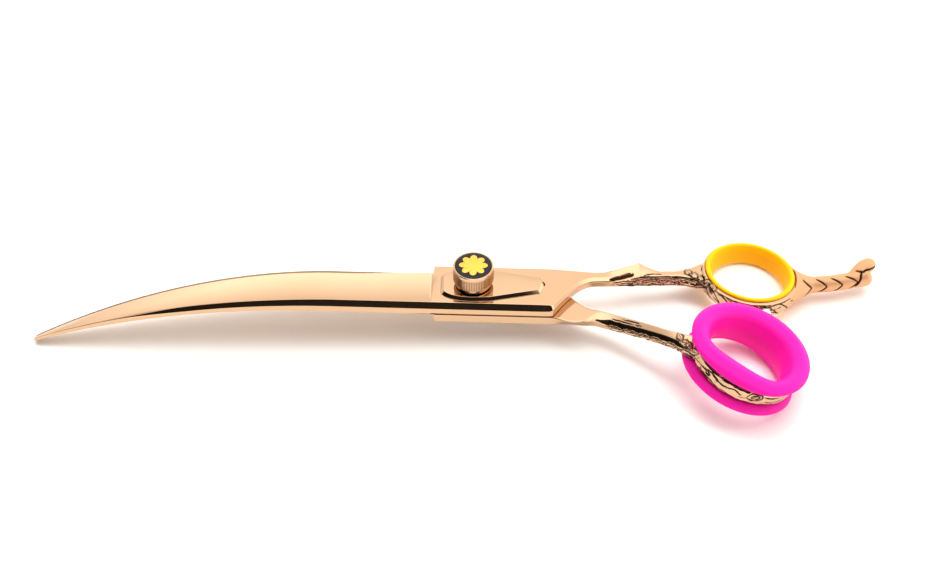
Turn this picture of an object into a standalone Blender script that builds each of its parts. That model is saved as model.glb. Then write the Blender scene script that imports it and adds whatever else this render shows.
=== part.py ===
"""Hair cutting shears with bowed blades, a dial-tensioned pivot and soft ring inserts.

+X runs from the pivot to the handles, +Y towards the finger ring, +Z up the pivot axis.
The origin is on the pivot axis, at the face of the screw head under the shears.
"""
import math

import bmesh
import bpy
from mathutils import Matrix, Vector
from mathutils.geometry import interpolate_bezier

MM = 0.001
CLEARANCE = 0.3 * MM
PAST = 1.0 * MM  # how far a cutter runs past the face that it opens

# Blades
BLADE_LENGTH = 120.3 * MM  # pivot to tip
HEEL = 10.8 * MM  # pivot to the step where the ground face starts
HEEL_RUN = 0.4 * MM
SPINE_REACH = 7.95 * MM  # pivot to the finger half's spine
EDGE_REACH = 7.1 * MM  # pivot to the thumb half's spine
HALF_THICKNESS = 2.9 * MM
TIP_THICKNESS = 1.0 * MM
EDGE_THICKNESS = 0.35 * MM
EDGE_STEP = 1.0 * MM  # how far one blade's edge lies inside the other's spine
EDGE_STEP_RUN = 24.0 * MM
SPINE_WALL = 1.65 * MM  # upright part of the spine, below its bevel
SPINE_BEVEL = 1.1 * MM
BOW_START = 41.0 * MM  # pivot to where the blades start to bow down
BOW_RADIUS = 215.5 * MM
TAPER_START = 38.0 * MM  # pivot to where the blades start to narrow
TAPER = 12.7 * MM
TAPER_CURVE = 1.72
BLADE_STATIONS = 16
CORNER = 0.25 * MM  # broken edges of the ricasso

# Shanks
CROTCH_START = 20.4 * MM
CROTCH_LENGTH = 11.6 * MM
SHANK_WIDTH = 4.0 * MM
SHANK_HEIGHT = 3.3 * MM
SHANK_ROUND = 0.3  # share of width and height that each corner takes
FINGER_SHANK_OFFSET = 5.3 * MM  # middle of the shank to the pivot line, at the crotch
THUMB_SHANK_OFFSET = 6.0 * MM
FLARE_LENGTH = 8.5 * MM
FINGER_FLARE = 6.0 * MM
THUMB_FLARE = 3.0 * MM
CROTCH_STATIONS = 7
SHANK_STATIONS = 12
THORN_AT = 44.4 * MM
THORN_LENGTH = 4.3 * MM
THORN_RADIUS = 1.8 * MM
THORN_STRETCH = 2.8
THORN_LEAN = math.radians(42.0)

# Finger ring and its sleeve. Radii are across the narrow way of the oval.
FINGER_RING_X = 74.1 * MM  # pivot to the ring's centre, along, across and up
FINGER_RING_Y = 8.3 * MM
FINGER_RING_Z = 3.6 * MM
FINGER_OVAL = 1.115
FINGER_TURN = math.radians(-30.0)
FINGER_HOLE = 9.1 * MM
FINGER_SLEEVE_WALL = 1.4 * MM
FINGER_SLEEVE_HEIGHT = 6.2 * MM
FINGER_WALL = 0.9 * MM
FINGER_RING_HEIGHT = 4.4 * MM
RING_BULGE = 0.35 * MM
SLEEVE_FLARE = 0.5 * MM

# Thumb ring and its flanged insert
THUMB_RING_X = 69.8 * MM
THUMB_RING_Y = -20.95 * MM
THUMB_RING_Z = 3.4 * MM
THUMB_OVAL = 1.113
THUMB_TURN = math.radians(-26.0)
THUMB_TILT = math.radians(16.0)
THUMB_HOLE = 9.0 * MM
THUMB_SLEEVE_WALL = 1.6 * MM
THUMB_WALL = 1.6 * MM
THUMB_RING_HEIGHT = 4.4 * MM
FLANGE_REACH = 14.2 * MM
FLANGE_THICKNESS = 3.0 * MM
FLANGE_FLARE = 2.4 * MM

# Tang
TANG_REACH = 32.4 * MM  # ring centre to the end of the tang
TANG_DROP = 2.1 * MM  # ring centre to the tang's root, towards the thumb ring
TANG_SWING = 2.1 * MM
TANG_LIFT = 1.8 * MM
TANG_HOOK_LENGTH = 7.5 * MM  # run of the turned-up end, along, across and up
TANG_HOOK_SWING = 4.2 * MM
TANG_HOOK_LIFT = 1.4 * MM
TANG_ROOT_RUN = 0.25  # share of the tang that its thick root takes
TANG_RADIUS = 2.2 * MM
TANG_ROOT_RADIUS = 3.3 * MM
TANG_END_RADIUS = 2.8 * MM
TANG_STATIONS = 12
TANG_BEVEL_RESOLUTION = 2

# Bumper between the rings
BUMPER_ANGLE = math.radians(-78.0)
BUMPER_RADIUS = 1.6 * MM
BUMPER_HEIGHT = 1.5 * MM
BUMPER_SIDE = 0.6 * MM  # upright part of the bumper's head, below its dome
BUMPER_DOME_STEPS = 3
BUMPER_STUD_RADIUS = 0.8 * MM
BUMPER_STUD_LENGTH = 0.8 * MM
BUMPER_BOSS_WALL = 0.6 * MM
BUMPER_BOSS_PROUD = 0.7 * MM

# Pivot
HEAD_PROUD = 0.4 * MM
HEAD_THICKNESS = 1.2 * MM
HEAD_RADIUS = 4.4 * MM
JOURNAL_RADIUS = 2.4 * MM
KEY_HALF_WIDTH = 1.9 * MM
THREAD_RADIUS = 1.75 * MM
BUSH_WALL = 0.7 * MM
GLIDE_THICKNESS = 0.7 * MM
GLIDE_RADIUS = 5.6 * MM
SPANNER_HOLE_RADIUS = 0.6 * MM
SPANNER_HOLE_DEPTH = 0.6 * MM
SPANNER_HOLE_AT = 2.9 * MM

# Tension plate and the locating pin in its tail
PLATE_THICKNESS = 1.4 * MM
PLATE_SINK = 0.5 * MM
PLATE_HALF_WIDTH = 5.85 * MM
PLATE_NOSE = 8.6 * MM
PLATE_NOSE_HALF_WIDTH = 2.3 * MM
PLATE_NOSE_STEPS = 3
PLATE_TAIL = 17.9 * MM
PLATE_TAIL_HALF_WIDTH = 3.1 * MM
PLATE_TAIL_CORNER = 1.5 * MM
PIN_AT = 13.0 * MM
PIN_RADIUS = 0.8 * MM
PIN_COVER = 0.4 * MM  # plate left above the pin's blind hole
PIN_DEPTH = 1.4 * MM  # pin below the plate's pocket

# Dial and the springs under it
KNOB_RADIUS = 5.4 * MM
KNOB_HEIGHT = 4.2 * MM
KNOB_RISE = 1.9 * MM  # gap between the plate and the dial
KNOB_WALL = 1.5 * MM
KNOB_WEB = 0.5 * MM
KNOB_RIM = 0.5 * MM
KNOB_CHAMFER = 0.35 * MM
DISC_THICKNESS = 0.45 * MM
DISC_SINK = 0.15 * MM  # rim of the dial above the disc
THRUST_RADIUS = 4.2 * MM
THRUST_THICKNESS = 0.4 * MM
SPRING_THICKNESS = 0.35 * MM
SPRING_CONE = 0.25 * MM
SPRING_RADIUS = 3.4 * MM
NUT_HEIGHT = 0.9 * MM
RETAINER_THICKNESS = 0.4 * MM
RETAINER_WIDTH = 1.0 * MM
RETAINER_GRIP = 0.35 * MM  # how far the snap ring stands into its groove

# Facets round the turned pieces
RING_STEPS = 48
KNOB_STEPS = 48
PIVOT_STEPS = 32
SMALL_STEPS = 16

# Levels up the pivot
THUMB_INNER = HEAD_PROUD + HALF_THICKNESS
FINGER_INNER = THUMB_INNER + CLEARANCE
FINGER_TOP = FINGER_INNER + HALF_THICKNESS
PLATE_BOTTOM = FINGER_TOP - PLATE_SINK + CLEARANCE
PLATE_TOP = PLATE_BOTTOM + PLATE_THICKNESS
KNOB_BOTTOM = PLATE_TOP + KNOB_RISE
KNOB_TOP = KNOB_BOTTOM + KNOB_HEIGHT
DISC_TOP = KNOB_TOP - DISC_SINK
DISC_SEAT = DISC_TOP - DISC_THICKNESS - CLEARANCE
CAVITY_TOP = DISC_SEAT - KNOB_WEB
NUT_BOTTOM = CAVITY_TOP - CLEARANCE - NUT_HEIGHT
RETAINER_BOTTOM = NUT_BOTTOM - CLEARANCE - RETAINER_THICKNESS
SCREW_TOP = CAVITY_TOP - 2 * CLEARANCE
HEAD_SEAT = HEAD_THICKNESS + CLEARANCE
GLIDE_MIDDLE = (THUMB_INNER + FINGER_INNER) / 2
GLIDE_ROOM = GLIDE_THICKNESS / 2 + CLEARANCE

# Centres of the rings
FINGER_CENTRE = Vector((FINGER_RING_X, FINGER_RING_Y, FINGER_RING_Z))
THUMB_CENTRE = Vector((THUMB_RING_X, THUMB_RING_Y, THUMB_RING_Z))

# Radii that follow from their neighbours
BUSH_BORE = JOURNAL_RADIUS + CLEARANCE
BUSH_RADIUS = BUSH_BORE + BUSH_WALL
CAVITY_RADIUS = KNOB_RADIUS - KNOB_WALL
FINGER_SLEEVE = FINGER_HOLE + FINGER_SLEEVE_WALL
FINGER_BORE = FINGER_SLEEVE + CLEARANCE
FINGER_OUTER = FINGER_BORE + FINGER_WALL
THUMB_SLEEVE = THUMB_HOLE + THUMB_SLEEVE_WALL
THUMB_BORE = THUMB_SLEEVE + CLEARANCE
THUMB_OUTER = THUMB_BORE + THUMB_WALL

for old in list(bpy.data.objects):
    bpy.data.objects.remove(old)

shears = bpy.data.collections.new("hair_cutting_shears")
cutters = bpy.data.collections.new("shears_cutters")
bpy.context.scene.collection.children.link(shears)
bpy.context.scene.collection.children.link(cutters)


def finish(name, colour, roughness, metallic):
    """A plain Principled material."""
    material = bpy.data.materials.new(name)
    material.use_nodes = True
    shader = material.node_tree.nodes["Principled BSDF"]
    shader.inputs["Base Color"].default_value = (*colour, 1.0)
    shader.inputs["Roughness"].default_value = roughness
    shader.inputs["Metallic"].default_value = metallic
    return material


ROSE_GOLD = finish("rose_gold", (0.92, 0.62, 0.38), 0.12, 1.0)
STEEL = finish("steel", (0.62, 0.62, 0.62), 0.25, 1.0)
BRASS = finish("brass", (0.80, 0.58, 0.22), 0.3, 1.0)
SPRING_STEEL = finish("spring_steel", (0.35, 0.36, 0.38), 0.3, 1.0)
NYLON = finish("nylon", (0.85, 0.84, 0.80), 0.5, 0.0)
PINK_SILICONE = finish("pink_silicone", (0.97, 0.01, 0.40), 0.55, 0.0)
YELLOW_SILICONE = finish("yellow_silicone", (0.98, 0.58, 0.005), 0.5, 0.0)
CLEAR_RUBBER = finish("clear_rubber", (0.80, 0.72, 0.70), 0.35, 0.0)
BLACK_ENAMEL = finish("black_enamel", (0.01, 0.01, 0.012), 0.15, 0.0)


def add(name, mesh, body=None, material=None):
    """An object for a piece of the body, or a hidden tool where no body is named."""
    item = bpy.data.objects.new(name, mesh)
    if body:
        shears.objects.link(item)
        item.parent = body
        mesh.materials.append(material)
    else:
        cutters.objects.link(item)
        item.hide_render = True
        item.display_type = "WIRE"
    return item


def pivoting_body(name):
    """An empty on the pivot axis that carries the pieces of one body."""
    empty = bpy.data.objects.new(name, None)
    shears.objects.link(empty)
    return empty


finger_half = pivoting_body("finger_half")
thumb_half = pivoting_body("thumb_half")
dial = pivoting_body("dial")


def loft(name, sections):
    """Closed skin through sections that have the same number of points."""
    skin = bmesh.new()
    rows = [[skin.verts.new(point) for point in section] for section in sections]
    for near, far in zip(rows, rows[1:]):
        for index in range(len(near)):
            after = (index + 1) % len(near)
            skin.faces.new((near[index], near[after], far[after], far[index]))
    skin.faces.new(rows[0])
    skin.faces.new(rows[-1])
    bmesh.ops.recalc_face_normals(skin, faces=skin.faces)
    mesh = bpy.data.meshes.new(name)
    skin.to_mesh(mesh)
    skin.free()
    return mesh


def turned(item, steps):
    """Turn the item's profile about its own Z axis."""
    screw = item.modifiers.new("turn", "SCREW")
    screw.axis = "Z"
    screw.steps = steps
    screw.render_steps = steps
    screw.use_merge_vertices = True
    screw.merge_threshold = 0.00001
    return item


def profile(name, points, closed):
    """Mesh of a profile in the XZ plane, run down its outer side."""
    count = len(points)
    edges = [(index, index + 1) for index in range(count - 1)]
    if closed:
        edges.append((count - 1, 0))
    mesh = bpy.data.meshes.new(name)
    mesh.from_pydata([(radius, 0.0, z) for radius, z in points], edges, [])
    return mesh


def collar(inner, outer, bottom, top):
    """Profile of a plain ring."""
    return [(inner, top), (outer, top), (outer, bottom), (inner, bottom)]


def cylinder(name, radius, bottom, top, steps):
    """Upright cutter on the pivot axis."""
    mesh = bpy.data.meshes.new(name)
    solid = bmesh.new()
    bmesh.ops.create_cone(
        solid,
        cap_ends=True,
        segments=steps,
        radius1=radius,
        radius2=radius,
        depth=top - bottom,
        matrix=Matrix.Translation((0, 0, (top + bottom) / 2)),
    )
    solid.to_mesh(mesh)
    solid.free()
    return add(name, mesh)


def box(name, size, middle):
    """Cutter of a size, about its middle."""
    mesh = bpy.data.meshes.new(name)
    solid = bmesh.new()
    place = Matrix.Translation(middle) @ Matrix.Diagonal((*size, 1.0))
    bmesh.ops.create_cube(solid, size=1.0, matrix=place)
    solid.to_mesh(mesh)
    solid.free()
    return add(name, mesh)


def combine(item, other, operation):
    """Boolean modifier on the item."""
    modifier = item.modifiers.new(other.name, "BOOLEAN")
    modifier.operation = operation
    modifier.object = other


def cut(item, *tools):
    for tool in tools:
        combine(item, tool, "DIFFERENCE")


def unite(item, *tools):
    for tool in tools:
        combine(item, tool, "UNION")


def ring_place(centre, tilt, turn, oval):
    """Frame of an oval ring: its own X is stretched, turned in its plane, then tilted."""
    turning = Matrix.Rotation(tilt, 4, "Y") @ Matrix.Rotation(turn, 4, "Z")
    return Matrix.Translation(centre) @ turning @ Matrix.Diagonal((oval, 1.0, 1.0, 1.0))


FINGER_PLACE = ring_place(FINGER_CENTRE, 0.0, FINGER_TURN, FINGER_OVAL)
THUMB_PLACE = ring_place(THUMB_CENTRE, THUMB_TILT, THUMB_TURN, THUMB_OVAL)


def taper_share(x):
    """0 up to where the blades start to narrow, 1 at the tip."""
    return max(0.0, (-TAPER_START - x) / (BLADE_LENGTH - TAPER_START))


def front_line(x):
    """Straight front of the closed blades."""
    return -SPINE_REACH


def back_line(x):
    """Tapering back of the closed blades."""
    return EDGE_REACH - TAPER * taper_share(x) ** TAPER_CURVE


def bow(x, y):
    """Drop of the bowed blades, the same all round the pivot so that they stay clear as they turn."""
    past = max(0.0, math.hypot(x, y) - BOW_START)
    return BOW_RADIUS - math.sqrt(BOW_RADIUS * BOW_RADIUS - past * past)


def edge_inset(x):
    """How far a cutting edge lies inside the other blade's spine."""
    share = min(1.0, max(0.0, (-HEEL - x) / EDGE_STEP_RUN))
    return EDGE_STEP * share * share * (3 - 2 * share)


def blade_section(x, spine, edge, inner, outward):
    """Ground blade: upright spine, bevel, face falling to the edge, flat inner face."""
    side = math.copysign(1.0, edge - spine)
    thickness = HALF_THICKNESS - (HALF_THICKNESS - TIP_THICKNESS) * taper_share(x)
    scale = thickness / HALF_THICKNESS
    width = abs(edge - spine)
    bevel = min(SPINE_BEVEL * scale, width / 3)
    rows = (
        (0.0, 0.0),
        (0.0, SPINE_WALL * scale),
        (bevel, thickness),
        (width - CORNER * scale, EDGE_THICKNESS),
        (width, EDGE_THICKNESS / 2),
        (width, 0.0),
        (width * 2 / 3, 0.0),
        (width / 3, 0.0),
    )
    points = []
    for across, up in rows:
        y = spine + side * across
        points.append(Vector((x, y, inner + outward * up - bow(x, y))))
    return points


def bar_section(x, spine, edge, inner, outward, low, high, corners):
    """Ricasso or shank: a bar between two heights, with its own width at each corner."""
    side = math.copysign(1.0, edge - spine)
    width = abs(edge - spine)
    (bevel, bevel_drop), (corner, corner_drop), (under, under_rise) = corners
    rows = (
        (0.0, low + under_rise),
        (0.0, high - bevel_drop),
        (bevel, high),
        (width - corner, high),
        (width, high - corner_drop),
        (width, low + under_rise),
        (width - under, low),
        (under, low),
    )
    return [Vector((x, spine + side * across, inner + outward * up)) for across, up in rows]


def shank_path(offset, inner, outward, ring_end):
    """Middle line of a shank from the crotch to its ring, as (x, y, height over the inner face)."""
    start = Vector((CROTCH_START + CROTCH_LENGTH, offset, HALF_THICKNESS / 2))
    end = Vector((ring_end.x, ring_end.y, outward * (ring_end.z - inner)))
    third = (end.x - start.x) / 3
    leave = start + Vector((third, (end.y - start.y) / 5, 0.0))
    arrive = end - Vector((third, (end.y - start.y) / 3, 0.0))
    return interpolate_bezier(start, leave, arrive, end, SHANK_STATIONS)


def half_sections(offset, inner, outward, spine_line, edge_line, ring_end, flare):
    """Sections of one half, from the tip to its ring."""
    sign = math.copysign(1.0, offset)
    sections = []
    for station in range(BLADE_STATIONS):
        share = station / (BLADE_STATIONS - 1)
        x = -BLADE_LENGTH + (BLADE_LENGTH - HEEL - HEEL_RUN) * share
        sections.append(blade_section(x, spine_line(x), edge_line(x), inner, outward))
    spine = spine_line(0.0)
    edge = edge_line(0.0)
    flat = ((SPINE_BEVEL, HALF_THICKNESS - SPINE_WALL), (CORNER, CORNER), (CORNER, CORNER))
    sections.append(bar_section(-HEEL, spine, edge, inner, outward, 0.0, HALF_THICKNESS, flat))
    path = shank_path(offset, inner, outward, ring_end)
    half_width = SHANK_WIDTH / 2
    shank_spine = path[0].y - sign * half_width
    shank_edge = path[0].y + sign * half_width
    rounding = ((SHANK_ROUND * SHANK_WIDTH, SHANK_ROUND * SHANK_HEIGHT),) * 3
    for station in range(CROTCH_STATIONS):
        share = station / CROTCH_STATIONS
        turn = math.sin(share * math.pi / 2)
        corners = [
            tuple(near + (far - near) * share for near, far in zip(square, round_corner))
            for square, round_corner in zip(flat, rounding)
        ]
        sections.append(
            bar_section(
                CROTCH_START + CROTCH_LENGTH * share,
                spine + (shank_spine - spine) * turn,
                edge + (shank_edge - edge) * share,
                inner,
                outward,
                (HALF_THICKNESS - SHANK_HEIGHT) / 2 * share,
                HALF_THICKNESS + (SHANK_HEIGHT - HALF_THICKNESS) / 2 * share,
                corners,
            )
        )
    for point in path:
        spread = max(0.0, 1.0 - (ring_end.x - point.x) / FLARE_LENGTH)
        reach = half_width + flare / 2 * spread * spread
        sections.append(
            bar_section(
                point.x,
                point.y - sign * reach,
                point.y + sign * reach,
                inner,
                outward,
                point.z - SHANK_HEIGHT / 2,
                point.z + SHANK_HEIGHT / 2,
                rounding,
            )
        )
    return sections


def ring_profile(bore, outer, height):
    """Section of a ring's metal, bulged on its outside."""
    half = height / 2
    return [
        (bore, half),
        (outer - 2 * RING_BULGE, half),
        (outer, half - 2 * RING_BULGE),
        (outer + RING_BULGE, 0.0),
        (outer, 2 * RING_BULGE - half),
        (outer - 2 * RING_BULGE, -half),
        (bore, -half),
    ]


def ring_tools(name, place, bore, outer, height):
    """The metal of a ring, and a cutter that ends what joins it inside its wall."""
    metal = turned(add(name + "_metal", profile(name, ring_profile(bore, outer, height), True)), RING_STEPS)
    metal.matrix_world = place
    trim = cylinder(name + "_trim", (bore + outer) / 2, -height - PAST, height + PAST, RING_STEPS)
    trim.matrix_world = place
    return metal, trim


def tang_tool():
    """Finger rest behind the finger ring, as a tapering tube."""
    root = FINGER_CENTRE + Vector((FINGER_BORE, -TANG_DROP, 0.0))
    end = FINGER_CENTRE + Vector((TANG_REACH, TANG_SWING, TANG_LIFT))
    third = Vector(((end.x - root.x) / 3, 0.0, 0.0))
    hook = Vector((TANG_HOOK_LENGTH, TANG_HOOK_SWING, TANG_HOOK_LIFT))
    path = interpolate_bezier(root, root + third, end - hook, end, TANG_STATIONS)
    curve = bpy.data.curves.new("tang", "CURVE")
    curve.dimensions = "3D"
    curve.bevel_depth = TANG_RADIUS
    curve.bevel_resolution = TANG_BEVEL_RESOLUTION
    curve.use_fill_caps = True
    spline = curve.splines.new("POLY")
    spline.points.add(len(path) - 1)
    for index, (point, place) in enumerate(zip(spline.points, path)):
        share = index / (len(path) - 1)
        root_swell = (TANG_ROOT_RADIUS / TANG_RADIUS - 1.0) * max(0.0, 1.0 - share / TANG_ROOT_RUN)
        end_swell = (TANG_END_RADIUS / TANG_RADIUS - 1.0) * share * share
        point.co = (*place, 1.0)
        point.radius = 1.0 + root_swell + end_swell
    holder = bpy.data.objects.new("tang_curve", curve)
    cutters.objects.link(holder)
    bpy.context.view_layer.update()
    evaluated = holder.evaluated_get(bpy.context.evaluated_depsgraph_get())
    mesh = bpy.data.meshes.new_from_object(evaluated)
    solid = bmesh.new()
    solid.from_mesh(mesh)
    bmesh.ops.remove_doubles(solid, verts=solid.verts, dist=0.00001)
    bmesh.ops.recalc_face_normals(solid, faces=solid.faces)
    solid.to_mesh(mesh)
    solid.free()
    bpy.data.objects.remove(holder)
    return add("tang_tool", mesh)


def thorn_tool(path):
    """Thorn on the back of the finger shank."""
    foot = min(path, key=lambda point: abs(point.x - THORN_AT))
    mesh = bpy.data.meshes.new("thorn")
    solid = bmesh.new()
    place = (
        Matrix.Translation((THORN_AT, foot.y, FINGER_INNER + foot.z))
        @ Matrix.Rotation(-THORN_LEAN, 4, "X")
        @ Matrix.Diagonal((THORN_STRETCH, 1.0, 1.0, 1.0))
        @ Matrix.Translation((0.0, 0.0, THORN_LENGTH / 2))
    )
    bmesh.ops.create_cone(
        solid,
        cap_ends=True,
        segments=SMALL_STEPS // 2,
        radius1=THORN_RADIUS,
        radius2=THORN_RADIUS / 8,
        depth=THORN_LENGTH,
        matrix=place,
    )
    solid.to_mesh(mesh)
    solid.free()
    return add("thorn_tool", mesh)


def oval_radius(radius, oval, turn, angle):
    """Distance from an oval's centre to its outline, in the direction of the angle."""
    across = angle - turn
    return radius / math.hypot(math.cos(across) / oval, math.sin(across))


def bumper_place():
    """Frame on the finger ring's front with +Z pointing out of the ring."""
    reach = oval_radius(FINGER_OUTER, FINGER_OVAL, FINGER_TURN, BUMPER_ANGLE)
    out = Vector((math.cos(BUMPER_ANGLE), math.sin(BUMPER_ANGLE), 0.0))
    facing = out.to_track_quat("Z", "Y").to_matrix().to_4x4()
    return Matrix.Translation(FINGER_CENTRE + out * reach) @ facing


def plate_outline(grow):
    """Corners of the tension plate, grown by a clearance for its pocket."""
    tail = PLATE_TAIL + grow
    side = [
        (tail, PLATE_TAIL_HALF_WIDTH - PLATE_TAIL_CORNER + grow / 2),
        (tail - PLATE_TAIL_CORNER, PLATE_TAIL_HALF_WIDTH + grow),
    ]
    shoulder = PLATE_HALF_WIDTH - PLATE_NOSE_HALF_WIDTH
    for step in range(PLATE_NOSE_STEPS + 1):
        angle = math.pi / 2 * step / PLATE_NOSE_STEPS
        across = PLATE_NOSE_HALF_WIDTH + shoulder * math.cos(angle) + grow
        side.append((-(PLATE_NOSE + grow) * math.sin(angle), across))
    return [*side, *((x, -y) for x, y in reversed(side))]


def plate_mesh(name, grow, bottom, top):
    """The plate's outline as a slab."""
    sections = [[Vector((x, y, z)) for x, y in plate_outline(grow)] for z in (bottom, top)]
    return loft(name, sections)


# Finger half
finger_reach = oval_radius(FINGER_BORE, FINGER_OVAL, FINGER_TURN, math.pi)
finger_end = FINGER_CENTRE - Vector((finger_reach, 0.0, 0.0))
finger_blade = add(
    "finger_blade",
    loft(
        "finger_blade",
        half_sections(
            FINGER_SHANK_OFFSET,
            FINGER_INNER,
            1.0,
            front_line,
            lambda x: back_line(x) - edge_inset(x),
            finger_end,
            FINGER_FLARE,
        ),
    ),
    finger_half,
    ROSE_GOLD,
)
finger_metal, finger_trim = ring_tools(
    "finger_ring", FINGER_PLACE, FINGER_BORE, FINGER_OUTER, FINGER_RING_HEIGHT
)
boss = cylinder(
    "bumper_boss",
    BUMPER_STUD_RADIUS + CLEARANCE + BUMPER_BOSS_WALL,
    -FINGER_WALL / 2,
    BUMPER_BOSS_PROUD,
    SMALL_STEPS,
)
socket = cylinder(
    "bumper_socket",
    BUMPER_STUD_RADIUS + CLEARANCE,
    BUMPER_BOSS_PROUD - BUMPER_STUD_LENGTH,
    BUMPER_BOSS_PROUD + PAST,
    SMALL_STEPS,
)
boss.matrix_world = bumper_place()
socket.matrix_world = bumper_place()
thorn = thorn_tool(shank_path(FINGER_SHANK_OFFSET, FINGER_INNER, 1.0, finger_end))
tang = tang_tool()
cut(tang, finger_trim)
cut(finger_blade, finger_trim)
unite(finger_blade, finger_metal, tang, thorn, boss)
pocket = add(
    "plate_pocket",
    plate_mesh("plate_pocket", CLEARANCE, FINGER_TOP - PLATE_SINK, FINGER_TOP + PAST),
)
glide_recess = cylinder(
    "glide_recess",
    GLIDE_RADIUS + CLEARANCE,
    GLIDE_MIDDLE - GLIDE_ROOM,
    GLIDE_MIDDLE + GLIDE_ROOM,
    PIVOT_STEPS,
)
finger_pivot_hole = cylinder(
    "finger_pivot_hole", JOURNAL_RADIUS + CLEARANCE, GLIDE_MIDDLE, FINGER_TOP, PIVOT_STEPS
)
pin_bottom = FINGER_TOP - PLATE_SINK - PIN_DEPTH
pin_top = PLATE_TOP - PIN_COVER - CLEARANCE
pin_hole = cylinder(
    "pin_hole", PIN_RADIUS + CLEARANCE, pin_bottom - CLEARANCE, pin_top + CLEARANCE, SMALL_STEPS
)
pin_hole.location.x = PIN_AT
cut(finger_blade, socket, pocket, glide_recess, finger_pivot_hole, pin_hole)

# Thumb half
thumb_reach = oval_radius(THUMB_BORE, THUMB_OVAL, THUMB_TURN, math.pi)
thumb_end = THUMB_CENTRE - Vector((math.cos(THUMB_TILT), 0.0, -math.sin(THUMB_TILT))) * thumb_reach
thumb_blade = add(
    "thumb_blade",
    loft(
        "thumb_blade",
        half_sections(
            -THUMB_SHANK_OFFSET,
            THUMB_INNER,
            -1.0,
            back_line,
            lambda x: front_line(x) + edge_inset(x),
            thumb_end,
            THUMB_FLARE,
        ),
    ),
    thumb_half,
    ROSE_GOLD,
)
thumb_metal, thumb_trim = ring_tools(
    "thumb_ring", THUMB_PLACE, THUMB_BORE, THUMB_OUTER, THUMB_RING_HEIGHT
)
cut(thumb_blade, thumb_trim)
unite(thumb_blade, thumb_metal)
head_seat = cylinder("head_seat", HEAD_RADIUS + CLEARANCE, -PAST, HEAD_SEAT, PIVOT_STEPS)
bush_hole = cylinder("bush_hole", BUSH_RADIUS + CLEARANCE, HEAD_SEAT - PAST, GLIDE_MIDDLE, PIVOT_STEPS)
cut(thumb_blade, glide_recess, head_seat, bush_hole)

# Pivot screw, with flats where the plate keys it and two blind holes for a pin spanner
screw_profile = [
    (0.0, SCREW_TOP),
    (THREAD_RADIUS, SCREW_TOP),
    (THREAD_RADIUS, PLATE_TOP),
    (JOURNAL_RADIUS, PLATE_TOP),
    (JOURNAL_RADIUS, HEAD_THICKNESS),
    (HEAD_RADIUS, HEAD_THICKNESS),
    (HEAD_RADIUS, 0.0),
    (0.0, 0.0),
]
pivot_screw = turned(
    add("pivot_screw", profile("pivot_screw", screw_profile, False), finger_half, STEEL), PIVOT_STEPS
)
key_bottom = PLATE_BOTTOM - CLEARANCE
key_top = SCREW_TOP + PAST
for side in (1, -1):
    flat = box(
        "key_flat",
        (2 * HEAD_RADIUS, HEAD_RADIUS, key_top - key_bottom),
        (0.0, side * (KEY_HALF_WIDTH + HEAD_RADIUS / 2), (key_top + key_bottom) / 2),
    )
    spanner = cylinder("spanner_hole", SPANNER_HOLE_RADIUS, -PAST, SPANNER_HOLE_DEPTH, SMALL_STEPS)
    spanner.location.x = side * SPANNER_HOLE_AT
    cut(pivot_screw, flat, spanner)

# Bearings between the halves
bush_profile = collar(BUSH_BORE, BUSH_RADIUS, HEAD_SEAT + CLEARANCE, GLIDE_MIDDLE - GLIDE_ROOM)
turned(add("pivot_bush", profile("pivot_bush", bush_profile, True), thumb_half, BRASS), PIVOT_STEPS)
glide_profile = collar(
    BUSH_BORE, GLIDE_RADIUS, GLIDE_MIDDLE - GLIDE_THICKNESS / 2, GLIDE_MIDDLE + GLIDE_THICKNESS / 2
)
turned(add("glide_washer", profile("glide_washer", glide_profile, True), finger_half, NYLON), PIVOT_STEPS)

# Tension plate, keyed on the screw's flats, and its locating pin
tension_plate = add(
    "tension_plate", plate_mesh("tension_plate", 0.0, PLATE_BOTTOM, PLATE_TOP), finger_half, ROSE_GOLD
)
key_hole = cylinder(
    "key_hole", JOURNAL_RADIUS + CLEARANCE, PLATE_BOTTOM - PAST, PLATE_TOP + PAST, PIVOT_STEPS
)
key_walls = box(
    "key_walls",
    (2 * PLATE_NOSE, 2 * (KEY_HALF_WIDTH + CLEARANCE), PLATE_THICKNESS + 4 * PAST),
    (0.0, 0.0, (PLATE_BOTTOM + PLATE_TOP) / 2),
)
combine(key_hole, key_walls, "INTERSECT")
cut(tension_plate, key_hole, pin_hole)
pin_profile = [(0.0, pin_top), (PIN_RADIUS, pin_top), (PIN_RADIUS, pin_bottom), (0.0, pin_bottom)]
plate_pin = turned(
    add("plate_pin", profile("plate_pin", pin_profile, False), finger_half, STEEL), SMALL_STEPS
)
plate_pin.location.x = PIN_AT

# Washer and cone springs between the plate and the dial
screw_room = THREAD_RADIUS + CLEARANCE
thrust_bottom = PLATE_TOP + CLEARANCE
thrust_top = thrust_bottom + THRUST_THICKNESS
turned(
    add(
        "thrust_washer",
        profile("thrust_washer", collar(screw_room, THRUST_RADIUS, thrust_bottom, thrust_top), True),
        finger_half,
        NYLON,
    ),
    PIVOT_STEPS,
)
spring_bottom = thrust_top + CLEARANCE
for number, rim_lift in ((1, 0.0), (2, SPRING_CONE)):
    eye_lift = SPRING_CONE - rim_lift
    cone = [
        (screw_room, spring_bottom + eye_lift + SPRING_THICKNESS),
        (SPRING_RADIUS, spring_bottom + rim_lift + SPRING_THICKNESS),
        (SPRING_RADIUS, spring_bottom + rim_lift),
        (screw_room, spring_bottom + eye_lift),
    ]
    name = f"spring_washer_{number}"
    turned(add(name, profile(name, cone, True), finger_half, SPRING_STEEL), PIVOT_STEPS)
    spring_bottom += SPRING_CONE + SPRING_THICKNESS + CLEARANCE

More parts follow.
